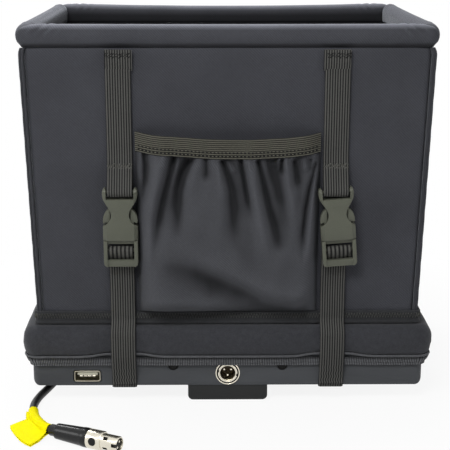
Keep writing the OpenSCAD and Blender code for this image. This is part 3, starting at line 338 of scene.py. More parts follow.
class Nodes:
    """Makes the nodes of one material or world."""

    def __init__(self, owner, output="OutputMaterial", shader="BsdfPrincipled"):
        self.owner = owner
        owner.use_nodes = True
        self.tree = owner.node_tree
        self.tree.nodes.clear()
        self.out = self.new(output)
        self.shader = self.new(shader)
        self.feed(self.out.inputs[0], self.shader.outputs[0])

    def new(self, kind, **values):
        """New node with the given properties."""
        node = self.tree.nodes.new("ShaderNode" + kind)
        for k, v in values.items():
            setattr(node, k, v)
        return node

    def feed(self, socket, value):
        """Links an input to an output, or sets its value."""
        if isinstance(value, bpy.types.NodeSocket):
            self.tree.links.new(value, socket)
        else:
            socket.default_value = value

    def put(self, node, **inputs):
        """Feeds a node's inputs by name."""
        for k, v in inputs.items():
            self.feed(node.inputs[k.replace("_", " ")], v)
        return node

    def fill(self, node, *values):
        """Feeds a node's inputs in their order, and gives its first output."""
        for socket, value in zip(node.inputs, values):
            self.feed(socket, value)
        return node.outputs[0]

    def base(self, **values):
        """Feeds the main shader's inputs."""
        self.put(self.shader, **values)

    def math(self, operation, *values):
        """Result of a math operation on outputs and numbers."""
        return self.fill(self.new("Math", operation=operation), *values)

    def total(self, *terms):
        """Sum of outputs, each times its share."""
        out = 0.0
        for value, share in terms:
            out = self.math("MULTIPLY_ADD", value, share, out)
        return out

    def place(self):
        """Place in the object's frame in metres."""
        return self.new("TexCoord").outputs["Object"]

    def uv(self):
        """UV coordinates in centimetres."""
        split = self.new("SeparateXYZ")
        self.feed(split.inputs[0], self.new("UVMap", uv_map="UVMap").outputs[0])
        return split.outputs[0], split.outputs[1]

    def noise(self, scale, detail):
        """Smooth noise from 0 to 1, by place."""
        node = self.new("TexNoise")
        return self.put(node, Vector=self.place(), Scale=scale, Detail=detail, Roughness=0.55).outputs["Fac"]

    def ramp(self, fac, stops):
        """Colour by a number, from stops of place and colour."""
        node = self.new("ValToRGB")
        self.feed(node.inputs[0], fac)
        elements = node.color_ramp.elements
        while len(elements) < len(stops):
            elements.new(0.5)
        for element, (place, colour) in zip(elements, stops):
            element.position = place
            element.color = (*colour, 1)
        return node.outputs[0]

    def paint_fold_shade(self, colour, ridge):
        """Painted shade and painted highlight: colour darkened in hollows and lightened up to ridge times on
        ridges, by the mesh's fold attribute.
        """
        fold = self.new("Attribute", attribute_name="fold").outputs["Fac"]
        tone = self.ramp(fold, [(0.0, (0.3,) * 3), (0.5, (1.0,) * 3), (1.0, (ridge,) * 3)])
        return self.fill(self.new("VectorMath", operation="MULTIPLY"), colour, tone)

    def bump(self, height, strength, distance):
        """Normal for a fine relief; the distance is in millimetres."""
        node = self.new("Bump")
        return self.put(node, Strength=strength, Distance=distance * MM, Height=height).outputs[0]

    def seen(self):
        """1 for rays that show in the picture, also by gloss or glass, and 0 for light on other surfaces."""
        rays = self.new("LightPath").outputs
        share = rays["Is Camera Ray"]
        for word in ("Is Glossy Ray", "Is Transmission Ray"):
            share = self.math("MAXIMUM", share, rays[word])
        return share

    def show(self, glow, share):
        """Puts a second shader over the main one, by the given share."""
        mix = self.fill(self.new("MixShader"), share, self.shader.outputs[0], glow.outputs[0])
        self.feed(self.out.inputs[0], mix)


def lin(hexa):
    """Linear colour from a display colour."""
    v = [int(hexa[i:i + 2], 16) / 255 for i in (1, 3, 5)]
    return tuple(c / 12.92 if c <= 0.04045 else ((c + 0.055) / 1.055) ** 2.4 for c in v)


def shade(col, k):
    """Colour times k, up to white."""
    return tuple(min(c * k, 1.0) for c in col)


def twill(name, hexa, pitch=1.5, sheen=0.2, blotch=0.22, nap=0.45, folds=0.0):
    """Woven cloth: diagonal twill lines broken into threads, with soft uneven dye."""
    n, col = Nodes(bpy.data.materials.new(name)), lin(hexa)
    u, v = n.uv()
    k = 2 * math.pi / (pitch * CM)
    diagonal = n.math("SINE", n.total((u, k), (v, k)))
    thread = n.math("SINE", n.total((u, 2 * k), (v, -0.7 * k)))
    weave = n.total((diagonal, 0.62), (thread, 0.38))
    dye = n.noise(34, 4)
    fine = n.noise(900, 2)
    tone = n.total((weave, 0.19), (dye, blotch * 2), (fine, 0.30))
    colour = n.ramp(tone, [(0.12, shade(col, 0.72)), (0.40, col), (0.78, shade(col, 1.38))])
    # Painted shade in hollows and painted highlight on ridges, from the fold attribute
    if folds:
        colour = n.paint_fold_shade(colour, folds)
    relief = n.bump(n.total((weave, 0.5), (fine, 0.7)), 0.55, 0.12)
    n.base(Base_Color=colour, Roughness=n.math("MULTIPLY_ADD", fine, 0.12, 0.76), Normal=relief)
    n.base(Sheen_Weight=sheen, Sheen_Roughness=nap, Sheen_Tint=(0.75, 0.78, 0.85, 1), Specular_IOR_Level=0.15)
    return n.owner


def knit(name, hexa, rough=0.85, cell=1500, depth=0.06):
    """Fine stretch knit or neoprene skin, by place."""
    n, col = Nodes(bpy.data.materials.new(name)), lin(hexa)
    loops = n.put(n.new("TexVoronoi", feature="F1"), Vector=n.place(), Scale=cell).outputs["Distance"]
    dye = n.noise(46, 4)
    fine = n.noise(1300, 2)
    mottle = n.math("SUBTRACT", n.noise(380, 3), 0.5)
    tone = n.total((dye, 0.4), (loops, 0.5), (mottle, 0.9))
    colour = n.ramp(tone, [(0.15, shade(col, 1.22)), (0.45, col), (0.85, shade(col, 0.75))])
    relief = n.bump(n.total((fine, 0.6), (loops, -0.8)), 0.6, depth)
    n.base(Base_Color=colour, Roughness=rough, Normal=relief)
    n.base(Sheen_Weight=0.15, Sheen_Roughness=0.5, Specular_IOR_Level=0.12)
    return n.owner


def webbing_mat(name, hexa, dark, ribs, width, folds=0.0):
    """Ribbed elastic, with painted shade in the grooves between its ribs and a painted highlight on their
    tops: UV u runs along the ribs and v across them.
    """
    n, col = Nodes(bpy.data.materials.new(name)), lin(hexa)
    u, v = n.uv()
    weft = n.math("SINE", n.math("MULTIPLY", u, 2 * math.pi / (WEFT * CM)))
    across = n.math("COSINE", n.math("MULTIPLY", v, 2 * math.pi * ribs / (width * CM)))
    fine = n.noise(1500, 2)
    dye = n.noise(60, 3)
    tone = n.math("ADD", n.total((across, -0.42), (fine, 0.25), (dye, 0.15)), 0.24)
    # Painted shade: the dark colour lies along the grooves between the ribs, and the rib tops are painted
    # lighter
    colour = n.ramp(tone, [(0.08, lin(dark)), (0.55, col), (0.95, shade(col, 1.35))])
    # Painted shade in hollows and painted highlight on ridges, from the fold attribute
    if folds:
        colour = n.paint_fold_shade(colour, folds)
    relief = n.bump(n.total((weft, 0.5), (fine, 0.6)), 0.5, 0.1)
    n.base(Base_Color=colour, Roughness=0.8, Normal=relief)
    n.base(Sheen_Weight=0.1, Sheen_Roughness=0.4, Specular_IOR_Level=0.12)
    return n.owner


def moulded(name, hexa, rough=0.5, grain=900, depth=0.03, spread=0.12, coat=0.0, shine=0.22):
    """Moulded plastic with a fine grain and a slightly uneven tone, as from wear."""
    n, col = Nodes(bpy.data.materials.new(name)), lin(hexa)
    fine = n.noise(grain, 3)
    wide = n.noise(22, 4)
    tone = n.total((fine, 0.35), (wide, 0.65))
    colour = n.ramp(tone, [(0.3, shade(col, 1 - spread)), (0.7, shade(col, 1 + spread))])
    n.base(Base_Color=colour, Roughness=n.math("MULTIPLY_ADD", wide, 0.16, rough - 0.08))
    n.base(Normal=n.bump(fine, 0.4, depth), Coat_Weight=coat, Specular_IOR_Level=shine)
    return n.owner


def plated(name, hexa, rough=0.22):
    """Plated metal with faint handling marks."""
    n, col = Nodes(bpy.data.materials.new(name)), lin(hexa)
    wide = n.noise(140, 4)
    fine = n.noise(2400, 2)
    n.base(Base_Color=n.ramp(wide, [(0.3, shade(col, 0.86)), (0.7, col)]), Metallic=1.0)
    n.base(Roughness=n.math("MULTIPLY_ADD", wide, 0.18, rough - 0.07), Normal=n.bump(fine, 0.25, 0.02))
    return n.owner


# For the cloths, folds sets how much lighter ridges are painted, with painted shade in hollows; each
# elastic's second colour is painted shade in the grooves between its ribs
M = {
    "wall": twill("wall_twill", "#3b3c41"),
    "lining": knit("inner_lining", "#121214", rough=0.75, cell=500, depth=0.05),
    "rim": twill("rim_twill", "#404146", pitch=1.3, sheen=0.35, nap=0.35, folds=4.5),
    "piping": twill("piping_twill", "#36373b", pitch=1.2),
    "skirt": knit("skirt_knit", "#35363a"),
    "trim": knit("trim_tape", "#2c2d2f", cell=2200),
    "hem": knit("hem_bead", "#505154", cell=2200),
    "band": webbing_mat("gathered_band", "#626366", "#252628", 1, GATHER, folds=1.3),
    "pocket": twill("pocket_twill", "#444549", pitch=1.3, sheen=0.06, blotch=0.12, folds=1.3),
    "strap": webbing_mat("ribbed_elastic", "#4b4b49", "#0c0c0c", STRAP_RIBS, STRAP_W),
    "loop": webbing_mat("looped_elastic", "#4a4a47", "#101010", LOOP_RIBS, LOOP_W),
    "mouth": webbing_mat("mouth_elastic", "#525149", "#1c1c19", BAND_RIBS, BAND_H),
    "thread": moulded("thread", "#53534f", rough=0.7, grain=3000, depth=0.05),
    "dark_thread": moulded("dark_thread", "#0c0c0c", rough=0.75, grain=3000, depth=0.05),
    "buckle": moulded("buckle_satin", "#54564c", rough=0.42, grain=1400, depth=0.02),
    "housing": moulded("housing_grain", "#424447", rough=0.55, grain=1500, depth=0.04),
    "shoe": moulded("shoe_black", "#232424", rough=0.55, grain=1200),
    "screw": moulded("blackened_steel", "#0b0b0b", rough=0.7, depth=0.02),
    "insert": moulded("black_insert", "#121212"),
    # The tongue's pale colour is partly its own and partly painted light, made light enough to show bright in
    # the socket's shade
    "tongue": moulded("tongue_pale", "#cfccba"),
    "shell": plated("shell_nickel", "#b0ab9d", rough=0.3),
    "nickel": plated("nickel", "#e6e0d0"),
    # Painted shade for the flange face round the round connector's nut
    "groove": moulded("painted_flange_shade", "#0d0d0c", rough=0.7),
    "socket": moulded("socket_insert", "#33291b", rough=0.45),
    "rubber": moulded("cable_jacket", "#1b1b1c", rough=0.45, grain=800, coat=0.05),
    "sleeve": moulded("plug_sleeve", "#161617", rough=0.3, grain=500, depth=0.02, coat=0.15),
    "flag": moulded("yellow_film", "#fbee08", rough=0.6, grain=500, depth=0.05, spread=0.05, shine=0.05),
    "glass": moulded("cover_glass_dark", "#101114", rough=0.12, grain=200, depth=0.002, coat=0.6),
    "board": moulded("board_green", "#1d4a2c"),
    "cell": moulded("cell_sleeve", "#2f3f66"),
    "card": moulded("stiff_board", "#8a7050", rough=0.9),
}

# Camera, fitted to the photo's frame

CAMERA_PLACE, CAMERA_DOWN, CAMERA_SIDE = (-0.0071, -0.704, 0.2613), 0.2513, -0.009


def add_camera():
    """Camera that sees the object as the photo does."""
    cam = bpy.data.cameras.new("camera")
    cam.sensor_width = 36
    cam.lens = 94.8
    cam.clip_start = 0.01
    obj = link("camera", cam)
    obj.location = CAMERA_PLACE
    obj.rotation_euler = (math.pi / 2 - CAMERA_DOWN, 0, CAMERA_SIDE)
    bpy.context.scene.camera = obj


add_camera()

# Lead: cable, flag and connector

LEAD_ROUTE = np.array([
    (-90.6, -40.5, 4.6), (-93, -46, 4.6), (-96.5, -54, 4.2), (-99.8, -62.5, 3.2), (-102.6, -71, 2.5),
    (-105, -79.5, 2.4), (-106.6, -88.5, 2.4), (-106.8, -97.5, 2.6), (-105.5, -105.8, 2.9),
    (-103.7, -113.2, 3.3), (-101, -120, 3.9), (-98.2, -125.8, 4.5), (-95.6, -130.2, 5),
    (-92.4, -133.2, 5.2), (-88.8, -135, 5.2)])
CABLE_D, FLAG_L, FLAG_STUB, FILM = 4.4, 14.0, 4.6, 0.4
# Where the film starts, where its flap starts and where both end, in spans of the route
FILM_START, FLAP_START, FILM_END = 7.7, 9.0, 12.8


def make_cable():
    """Round cable along its route, and the points of the route in metres."""
    path = smooth(LEAD_ROUTE, 2) * MM
    curve = bpy.data.curves.new("cable", "CURVE")
    curve.dimensions = "3D"
    curve.bevel_depth = CABLE_D / 2 * MM
    curve.bevel_resolution = 5
    curve.use_fill_caps = True
    spline = curve.splines.new("POLY")
    spline.points.add(len(path) - 1)
    for point, p in zip(spline.points, path):
        point.co = (*p, 1)
    spline.use_smooth = True
    curve.materials.append(M["rubber"])
    return settle(link("cable", curve), "lead_cable"), path


def flag_path(h, length):
    """Section of the film at height h: in along the upper flap, round the cable, out along the lower flap."""
    r = CABLE_D / 2 + SEAT + FILM / 2
    layer = 2 * FILM + 0.15
    far = 0.6 * h + (0.5 - 0.6 * h) * (length - FLAG_STUB) / (FLAG_L - FLAG_STUB)
    mid = (far + 1.6) / 2
    top = smooth([[length, far - h + layer], [length * 0.75 + 0.5, mid - h + layer - 0.2],
                  [length / 2 + 1, mid - h + layer], [r + 1, -0.25 * h]], 4)
    low = smooth([[r + 0.8, -0.25 * h - layer - 0.3], [length / 2 + 1, mid - h],
                  [length * 0.75 + 0.5, mid - h - 0.2], [length, far - h]], 4)
    return np.concatenate([top, arc((0, 0), r, -8, 300, 24), low])


def make_flag():
    """Film wrapped round the cable, with both ends reaching out as a flap."""
    faces = {1: [], -1: []}
    for t in np.linspace(FILM_START, FILM_END, 44):
        p = curve_at(LEAD_ROUTE, t)
        across = np.cross(curve_at(LEAD_ROUTE, t + 0.05) - p, (0, 0, 1))
        across /= np.linalg.norm(across)
        stub = FLAG_STUB - 0.8 * ramp(t, FLAP_START, FILM_START - FLAP_START)
        path = flag_path(p[2], stub + (FLAG_L - stub) * ramp(t, FLAP_START, 0.25))
        for side, rows in faces.items():
            e = path + normals(path) * side * FILM / 2
            rows.append(p + e[:, :1] * across + e[:, 1:] * (0, 0, 1))
    return settle(shell_piece("flag", np.array(faces[1]), np.array(faces[-1]), M["flag"]), "lead_flag")


cable, cable_path = make_cable()
flag = make_flag()
# Pieces of the lead's connector: node, look and width of the rounded edges
lead_bits = [refine("lead_" + bit, M[look], bevel) for bit, look, bevel in (
    ("sleeve", "sleeve", 0.15), ("shell", "nickel", 0.12), ("insert", "insert", 0), ("contacts", "nickel", 0),
    ("latch_button", "insert", 0.2))]
cable_length = float(run(cable_path)[-1])
tuple(cable_path[0])

# Hood: walls, rims and piping

WALL_FOOT, WALL_HEAD = BASE_TOP + 0.1, HOOD_TOP - 0.05
WALL_COLUMNS, WALL_ROWS = 96, 72


def bulge_edge(d, r):
    """How far a face lies back at distance d from an edge that is rounded over r."""
    d = np.clip(d, 0, r)
    return r - np.sqrt(np.maximum(r * r - (r - d) ** 2, 0))


def wall_piece(side, half_of, face_of, turn, seed):
    """One padded wall: closed form with a face that pulls in at its seams and a plainer lining."""
    u = crowded(WALL_COLUMNS, 0.5)[:, None]
    z = WALL_FOOT + (WALL_HEAD - WALL_FOOT) * (1 + crowded(WALL_ROWS, 0.5)) / 2
    wide, narrow = half_of(z) - PIPING - SEAT, half_of(z) - WALL_T - SEAT
    xo, xi = u * wide, u * narrow
    edge = (1 - np.abs(u)) * wide
    up = WALL_HEAD - z
    # Pulled in at the side seams and under the rim, and slightly uneven all over
    back = 0.55 * hump(edge, 7.0) + 1.5 * hump(edge, 1.1) + 0.7 * hump(up, 4.0) + 0.8 * hump(up, 1.2)
    back = back + 0.16 * (1 + ripple(xo, z, seed, 46))
    back = back + 0.10 * (1 + ripple(xo, z, seed + 1, 15)) * hump(edge, 40)
    tuck = 0.5 * hump((1 - np.abs(u)) * narrow, 5.0) + 0.08 * (1 + ripple(xi, z, seed + 2, 40))
    outer = stack(xo, np.maximum(back, 0.02) - face_of(z), z)
    inner = stack(xi, WALL_T - face_of(z) - tuck, z)
    obj = shell_piece(side + "_wall", inner, outer, M["wall"])
    obj.data.materials.append(M["lining"])
    for face in obj.data.polygons[:(WALL_COLUMNS - 1) * (WALL_ROWS - 1)]:
        face.material_index = 1
    settle(turned(obj, turn), side + "_panel")


wall_piece("front", hood_x, hood_y, turn=0, seed=3)
wall_piece("rear", hood_x, hood_y, turn=math.pi, seed=13)
wall_piece("right", hood_y, hood_x, turn=math.pi / 2, seed=23)
wall_piece("left", hood_y, hood_x, turn=-math.pi / 2, seed=33)

RIM_X, RIM_Y, RIM_Z = hood_x(HOOD_TOP) + RIM_OVER, hood_y(HOOD_TOP) + RIM_OVER, HOOD_TOP + SEAT
RIM_COLUMNS, RIM_STEPS = 110, 40
# Section of a rim: how deep from its face, and how high
RIM_SECTION = [
    (2.7, 0.0), (2.0, 1.2), (1.0, 2.5), (0.4, 4.0), (0.08, 5.8), (0.05, 7.6), (0.6, 10.0), (2.1, 11.8),
    (4.5, 12.4), (6.9, 11.8), (8.4, 10.0), (8.95, 7.6), (9.0, 4.8), (8.9, 2.2), (8.3, 0.5), (7.1, 0.0)]


def rim_piece(side, half, face, sag, turn, seed, lift, crest):
    """Rolled rim bar: full round top, stitched foot, pinched and wrinkled at its corners."""
    section = smooth(RIM_SECTION, 6)
    deep, high = even(section, run(section)[-1] / RIM_STEPS).T
    t = crowded(RIM_COLUMNS, 0.45)[:, None]
    x = t * (half - deep - 0.1)
    d = (1 - np.abs(t)) * half
    mid = ramp(high, 2, 10)
    wob = 0.22 * ripple(x, deep * 2 + high * 2, seed, 26)
    wob = wob + 0.16 * ripple(x, deep + high * 2, seed + 1, 9) * (0.4 + hump(d, 16))
    # Pinched at both ends, with a tuck a little way in and slanting creases beside it
    pinch = 0.9 * hump(d, 3.2) * mid + 0.45 * hump(d - 11, 2.6) * hump(deep - 1.5, 2.5) * mid
    slant = np.sin(2 * np.pi * (d - 0.9 * high) / 5.5)
    pinch = pinch + 0.38 * slant * hump(d - 13, 7) * hump(high - 10.5, 3.0)
    drop = 0.5 * hump(d, 6.0) * mid
    y = deep - face + bulge_edge(d, 4.5) * ramp(deep, RIM_T, -RIM_T)
    y = y + np.sign(RIM_T / 2 - deep) * 0.12 * (1 + wob) * mid
    z = RIM_Z + high * (1 - sag / RIM_H * (1 - t**2)) - pinch - drop - 0.12 * mid * (1 - wob)
    grid = stack(x, y, z)
    uv = stack(run(grid, 0).mean(1, keepdims=True), run(grid, 1))
    obj = grid_piece(side + "_roll", [grid], M["rim"], uv)
    # Painted shade inside the hood and at the stitched foot, a painted highlight along the crest, and painted
    # shade and highlight over the pinches and slanting creases
    inside = ramp(deep, 4.2, 2.5) * ramp(high, 8.6, -3.5)
    foot = ramp(high, 2.6, -1.6) * ramp(deep, 4, -1.5)
    store_painted_shade(obj, 0.5 + lift * ramp(high, crest, 3) - 0.5 * inside - 0.5 * foot - 0.3 * pinch)
    settle(turned(obj, turn), side + "_rim")


# lift and crest give the painted highlight along each rim's crest: how strong it is, and the height where it
# starts
rim_piece("front", RIM_X, RIM_Y, sag=0.3, turn=0, seed=41, lift=0.5, crest=9.7)
rim_piece("rear", RIM_X, RIM_Y, sag=SAG, turn=math.pi, seed=43, lift=0.42, crest=9.0)
rim_piece("right", RIM_Y, RIM_X, sag=0.4, turn=math.pi / 2, seed=47, lift=0.13, crest=7.0)
rim_piece("left", RIM_Y, RIM_X, sag=0.4, turn=-math.pi / 2, seed=53, lift=0.25, crest=7.0)


def corner_piece():
    """Corner piping: two round beads and a folded strip between the walls, at each corner."""
    section = smooth([(3.0, 3.0), (3.0, 0.5), (2.75, 0.12), (2.3, 0.05), (1.85, 0.25), (1.6, 0.62),
                      (1.3, 0.35), (0.85, 0.32), (0.45, 0.45), (0.32, 0.85), (0.35, 1.3), (0.62, 1.6),
                      (0.25, 1.85), (0.05, 2.3), (0.12, 2.75), (0.5, 3.0)], 3)
    z = np.linspace(WALL_FOOT, WALL_HEAD, 90)[:, None]
    grids = []
    for sx in (-1, 1):
        for sy in (-1, 1):
            waver = 0.08 * np.sin(z * 0.21 + sx) + 0.05 * np.sin(z * 0.63 + sy)
            tuck = np.abs(waver) + hump(HOOD_TOP - z, 1.6)
            x = sx * (hood_x(z) - section[:, 0] - tuck)
            y = sy * (hood_y(z) - section[:, 1] - tuck)
            grids.append(stack(x, y, z))
    uv = stack(z, np.arange(len(section)) * 0.5)
    settle(grid_piece("piping", grids, M["piping"], np.tile(uv, (len(grids), 1, 1))), "corner_piping")


corner_piece()

# Skirt, hem and bands round the base

SKIRT_DROP, SKIRT_RISE, LIP_H = 4.6, 10.2, 2.2
SKIRT_FOOT, SKIRT_TOP = BASE_TOP - SKIRT_DROP, BASE_TOP + SKIRT_RISE
WALL_OUT = SOFT - INSET
ROUND_STEP, FINE_STEP = 2.0, 0.26


def outline(r, hx, hy, step, out=0.0):
    """Stations round a rounded rectangle: place and outward direction, from the front's left end."""
    cx, cy = hx - r, hy - r
    centres = np.array([(-cx, -cy), (cx, -cy), (cx, cy), (-cx, cy)])
    bend = max(int(r * math.pi / 2 / step), 6)
    stations = []
    for k in range(4):
        side = centres[(k + 1) % 4] - centres[k]
        straight = int(np.abs(side).sum() / step)
        for i in range(straight + bend):
            turn = math.pi / 2 * (k - 1 + max(i - straight, 0) / bend)
            way = np.array([math.cos(turn), math.sin(turn)])
            place = centres[k] + side * min(i / straight, 1) + way * (r + out)
            stations.append((*place, *way))
    return np.array(stations)


def pressed(stations):
    """How far the straps press at each station, 0 to 1."""
    aside = np.abs(np.abs(stations[:, 0]) - STRAP_X) - STRAP_W * 0.65
    return np.where(np.abs(stations[:, 3]) > 0.99, hump(np.maximum(aside, 0), 8.0), 0)


def loop_piece(name, section, stations, material, lift=0.0, wave=None, squeeze=True, drop=0.0, upright=False):
    """Closed band whose section runs round the base and is pressed in where the straps cross it."""
    k = pressed(stations)[:, None]
    out, z = section.T
    if squeeze:
        held = SEAT_OUT + (out - SEAT_OUT) * (1 - PRESS)
        out = np.where(out > SEAT_OUT, out * (1 - k) + held * k, out)
    s = run(stations[:, :2])[:, None]
    if wave is not None:
        out = out + wave(s, z, k)
    z = z + lift * k - drop * (1 - k) * ramp(z, SKIRT_FOOT + LIP_H, -LIP_H)
    x, y, way_x, way_y = stations.T[..., None]
    uv = stack(s, np.arange(len(section)) * 0.6)
    grid = stack(x + way_x * out, y + way_y * out, z)
    return grid_piece(name, [grid], material, uv[..., ::-1] if upright else uv, ring=True)


# Section of the skirt: out from the base, and up from its top
skirt_section = np.concatenate([
    smooth([(0.5, -4.1), (1.9, -4.62), (3.4, -4.45), (4.6, -2.9), (5.15, -0.9), (5.25, 1.0), (4.95, 4.2),
            (4.1, 6.7), (2.5, 8.5), (0.6, 9.5), (-1.4, 9.95),
            (WALL_OUT + SKIRT_RISE * LEAN + 0.1, SKIRT_RISE - 0.1)], 4),
    [(WALL_OUT + 0.2, 6.0), (WALL_OUT + 0.15, SOFT), (0.3, SOFT)]]) + (0, BASE_TOP)
base_round = outline(EDGE_R, BASE_W / 2, BASE_D / 2, ROUND_STEP)


def skirt_wave(s, z, k):
    """Unevenness of the skirt's face."""
    shown = ramp(z, SKIRT_FOOT, 3) * ramp(z, SKIRT_TOP, -4)
    return -shown * (0.22 * (1 + ripple(s, z * 3, 61, 38)) + 0.10 * (1 + ripple(s, z * 2, 62, 12)))


skirt = loop_piece("skirt_roll", skirt_section, base_round, M["skirt"], wave=skirt_wave, drop=1.65)
settle(skirt, "skirt")

HEM_D, HEM_R, HEM_LIFT = 1.4, 0.66, 1.3
HEM_Z = SKIRT_FOOT - HEM_D / 2 - HEM_LIFT - SOFT
hem_section = arc((SKIRT_OUT * 0.72, HEM_Z), HEM_R, 0, -360, 14)[:-1]
settle(loop_piece("hem_cord", hem_section, base_round, M["hem"], lift=HEM_LIFT), "hem_piping")

BAND_TOP, EDGE_H = HEM_Z - HEM_D / 2 - SOFT, 5.0
BAND_FOOT = BAND_TOP - EDGE_H
band_section = np.concatenate([
    smooth([(SEAT_OUT + 0.7, BAND_FOOT), (SEAT_OUT + 0.8, BAND_FOOT + 1.2),
            (SKIRT_OUT * 0.42 + 0.75, BAND_TOP - 2.4), (SKIRT_OUT * 0.6 + 0.75, BAND_TOP)], 4),
    smooth([(SKIRT_OUT * 0.6 - 0.05, BAND_TOP), (SKIRT_OUT * 0.42 - 0.05, BAND_TOP - 2.2),
            (SEAT_OUT + 0.15, BAND_FOOT + 1.4), (SEAT_OUT + 0.05, BAND_FOOT)], 3)])
fine_round = outline(EDGE_R, BASE_W / 2, BASE_D / 2, FINE_STEP)


def gather_wave(s, z, k):
    """Small even gathers of the band, flatter at its foot and under the straps."""
    phase = np.pi * s / GATHER + 0.7 * ripple(s, z, 71, 14)
    return 0.13 * np.sin(phase) * (0.35 + 0.65 * ramp(z, BAND_FOOT, EDGE_H)) * (1 - 0.6 * k)


gathered = loop_piece("gathered_edge", band_section, fine_round, M["band"], wave=gather_wave, upright=True)
# Painted shadow of the hem bead along the top of the gathered band
store_painted_shade(gathered, np.tile(0.5 - 0.5 * ramp(band_section[:, 1], BAND_TOP - 1.7, 1.3), len(fine_round)))
settle(gathered, "elastic_band")

TAPE_FOOT = SKIRT_TOP + SOFT
TAPE_TOP = TAPE_FOOT + TAPE_H
# Radius of the tape's corners, half its width and half its depth
TAPE_SIZE = (2.0, hood_x(TAPE_TOP) + SOFT, hood_y(TAPE_TOP) + SOFT)
# Section of the binding tape: out from the wall, and up from its foot
tape_section = smooth([
    (0.05, 0.1), (0.55, 0.05), (1.02, 0.45), (1.12, 1.2), (0.75, 1.9), (0.72, 3.0), (0.78, 4.6), (0.75, 5.8),
    (1.08, 6.5), (1.02, TAPE_H - 0.45), (0.55, TAPE_H - 0.05), (0.05, TAPE_H - 0.1)], 3) + (0, TAPE_FOOT)
tape = loop_piece("binding", tape_section, outline(*TAPE_SIZE, ROUND_STEP), M["trim"], squeeze=False)
settle(tape, "binding_tape")
ZIGZAG_STEP, ZIGZAG_OUT, ZIGZAG_UP, ZIGZAG_HALF = 0.75, 0.84, 4.9, 1.4


def zigzag():
    """Zigzag thread round the binding tape."""
    x, y = outline(*TAPE_SIZE, ZIGZAG_STEP, ZIGZAG_OUT)[:, :2].T
    turns = np.where(np.arange(len(x)) % 2, -ZIGZAG_HALF, ZIGZAG_HALF)
    path = stack(x, y, TAPE_FOOT + ZIGZAG_UP + turns)
    thread = rings(path, tangents(path, closed=True), THREAD_R, (0, 0, 1))
    ride_on(grid_piece("binding_stitch", [thread], M["thread"], ring=True), "base", "trim")


zigzag()

# Pocket

POCKET_FOOT = TAPE_TOP + SOFT
# Folds of the pocket's cloth: points (u, v), half widths at the start and end as shares of the pocket's
# width, and height in millimetres, with valleys below 0
FOLDS = [
    ([(0.275, 0.99), (0.215, 0.8), (0.17, 0.62), (0.15, 0.46)], 0.055, 0.07, -2.0),
    ([(0.075, 0.99), (0.045, 0.8), (0.02, 0.62)], 0.035, 0.03, -1.4),
    ([(0.53, 0.98), (0.565, 0.8), (0.59, 0.6)], 0.05, 0.06, -1.7),
    ([(0.72, 0.98), (0.765, 0.75), (0.815, 0.52), (0.85, 0.36)], 0.05, 0.075, -2.2),
    ([(0.89, 0.98), (0.895, 0.75), (0.885, 0.52)], 0.045, 0.045, -1.8),
    ([(0.048, 1.0), (0.058, 0.929), (0.053, 0.845), (0.028, 0.733), (0.017, 0.649)], 0.017, 0.021, -4.6),
    ([(0.01, 0.988), (0.015, 0.909), (0.019, 0.825)], 0.011, 0.01, 0.8),
    ([(0.134, 0.993), (0.114, 0.832), (0.083, 0.661), (0.063, 0.491), (0.042, 0.279),
      (0.044, 0.11)], 0.044, 0.024, 2.0),
    ([(0.206, 0.988), (0.179, 0.862), (0.145, 0.732), (0.115, 0.569), (0.096, 0.407),
      (0.088, 0.238)], 0.02, 0.028, -5.0),
    ([(0.289, 0.974), (0.255, 0.886), (0.234, 0.798), (0.227, 0.695), (0.231, 0.558),
      (0.24, 0.43)], 0.021, 0.034, -5.0),
    ([(0.24, 0.997), (0.205, 0.864), (0.184, 0.743)], 0.013, 0.018, 0.7),
    ([(0.331, 0.991), (0.301, 0.863), (0.276, 0.698)], 0.024, 0.035, 1.6),
    ([(0.385, 0.996), (0.385, 0.914), (0.378, 0.835)], 0.011, 0.016, -2.2),
    ([(0.438, 0.997), (0.454, 0.902), (0.479, 0.799), (0.487, 0.694)], 0.016, 0.031, 1.6),
    ([(0.469, 0.982), (0.5, 0.888), (0.52, 0.802), (0.528, 0.696), (0.529, 0.59),
      (0.542, 0.467), (0.55, 0.34)], 0.014, 0.042, -3.8),
    ([(0.508, 0.968), (0.536, 0.907)], 0.014, 0.016, 0.8),
    ([(0.571, 0.995), (0.589, 0.889), (0.609, 0.765), (0.623, 0.677), (0.645, 0.54)], 0.01, 0.022, -3.4),
    ([(0.614, 0.994), (0.633, 0.879), (0.654, 0.729), (0.687, 0.562), (0.722, 0.412),
      (0.769, 0.279)], 0.033, 0.037, 2.6),
    ([(0.66, 0.984), (0.686, 0.861), (0.716, 0.711), (0.749, 0.578), (0.776, 0.462),
      (0.79, 0.39)], 0.012, 0.03, -4.7),
    ([(0.735, 0.982), (0.756, 0.883), (0.791, 0.723), (0.827, 0.546)], 0.024, 0.035, -2.2),
    ([(0.738, 0.986), (0.743, 0.938)], 0.014, 0.011, 1.0),
    ([(0.79, 0.984), (0.793, 0.879)], 0.01, 0.013, -3.0),
    ([(0.811, 0.977), (0.825, 0.849), (0.85, 0.7), (0.872, 0.526)], 0.017, 0.033, 2.0),
    ([(0.854, 0.967), (0.87, 0.87), (0.877, 0.784)], 0.013, 0.017, -2.8),
    ([(0.908, 0.973), (0.928, 0.89)], 0.014, 0.013, 1.4),
    ([(0.944, 0.965), (0.951, 0.878)], 0.013, 0.011, -2.6),
    ([(0.976, 0.935), (0.948, 0.811), (0.926, 0.667), (0.913, 0.514), (0.912, 0.403),
      (0.915, 0.28)], 0.011, 0.024, -5.0),
    ([(0.991, 0.942), (0.974, 0.808), (0.96, 0.639), (0.951, 0.452), (0.951, 0.239)], 0.011, 0.021, 2.2),
]
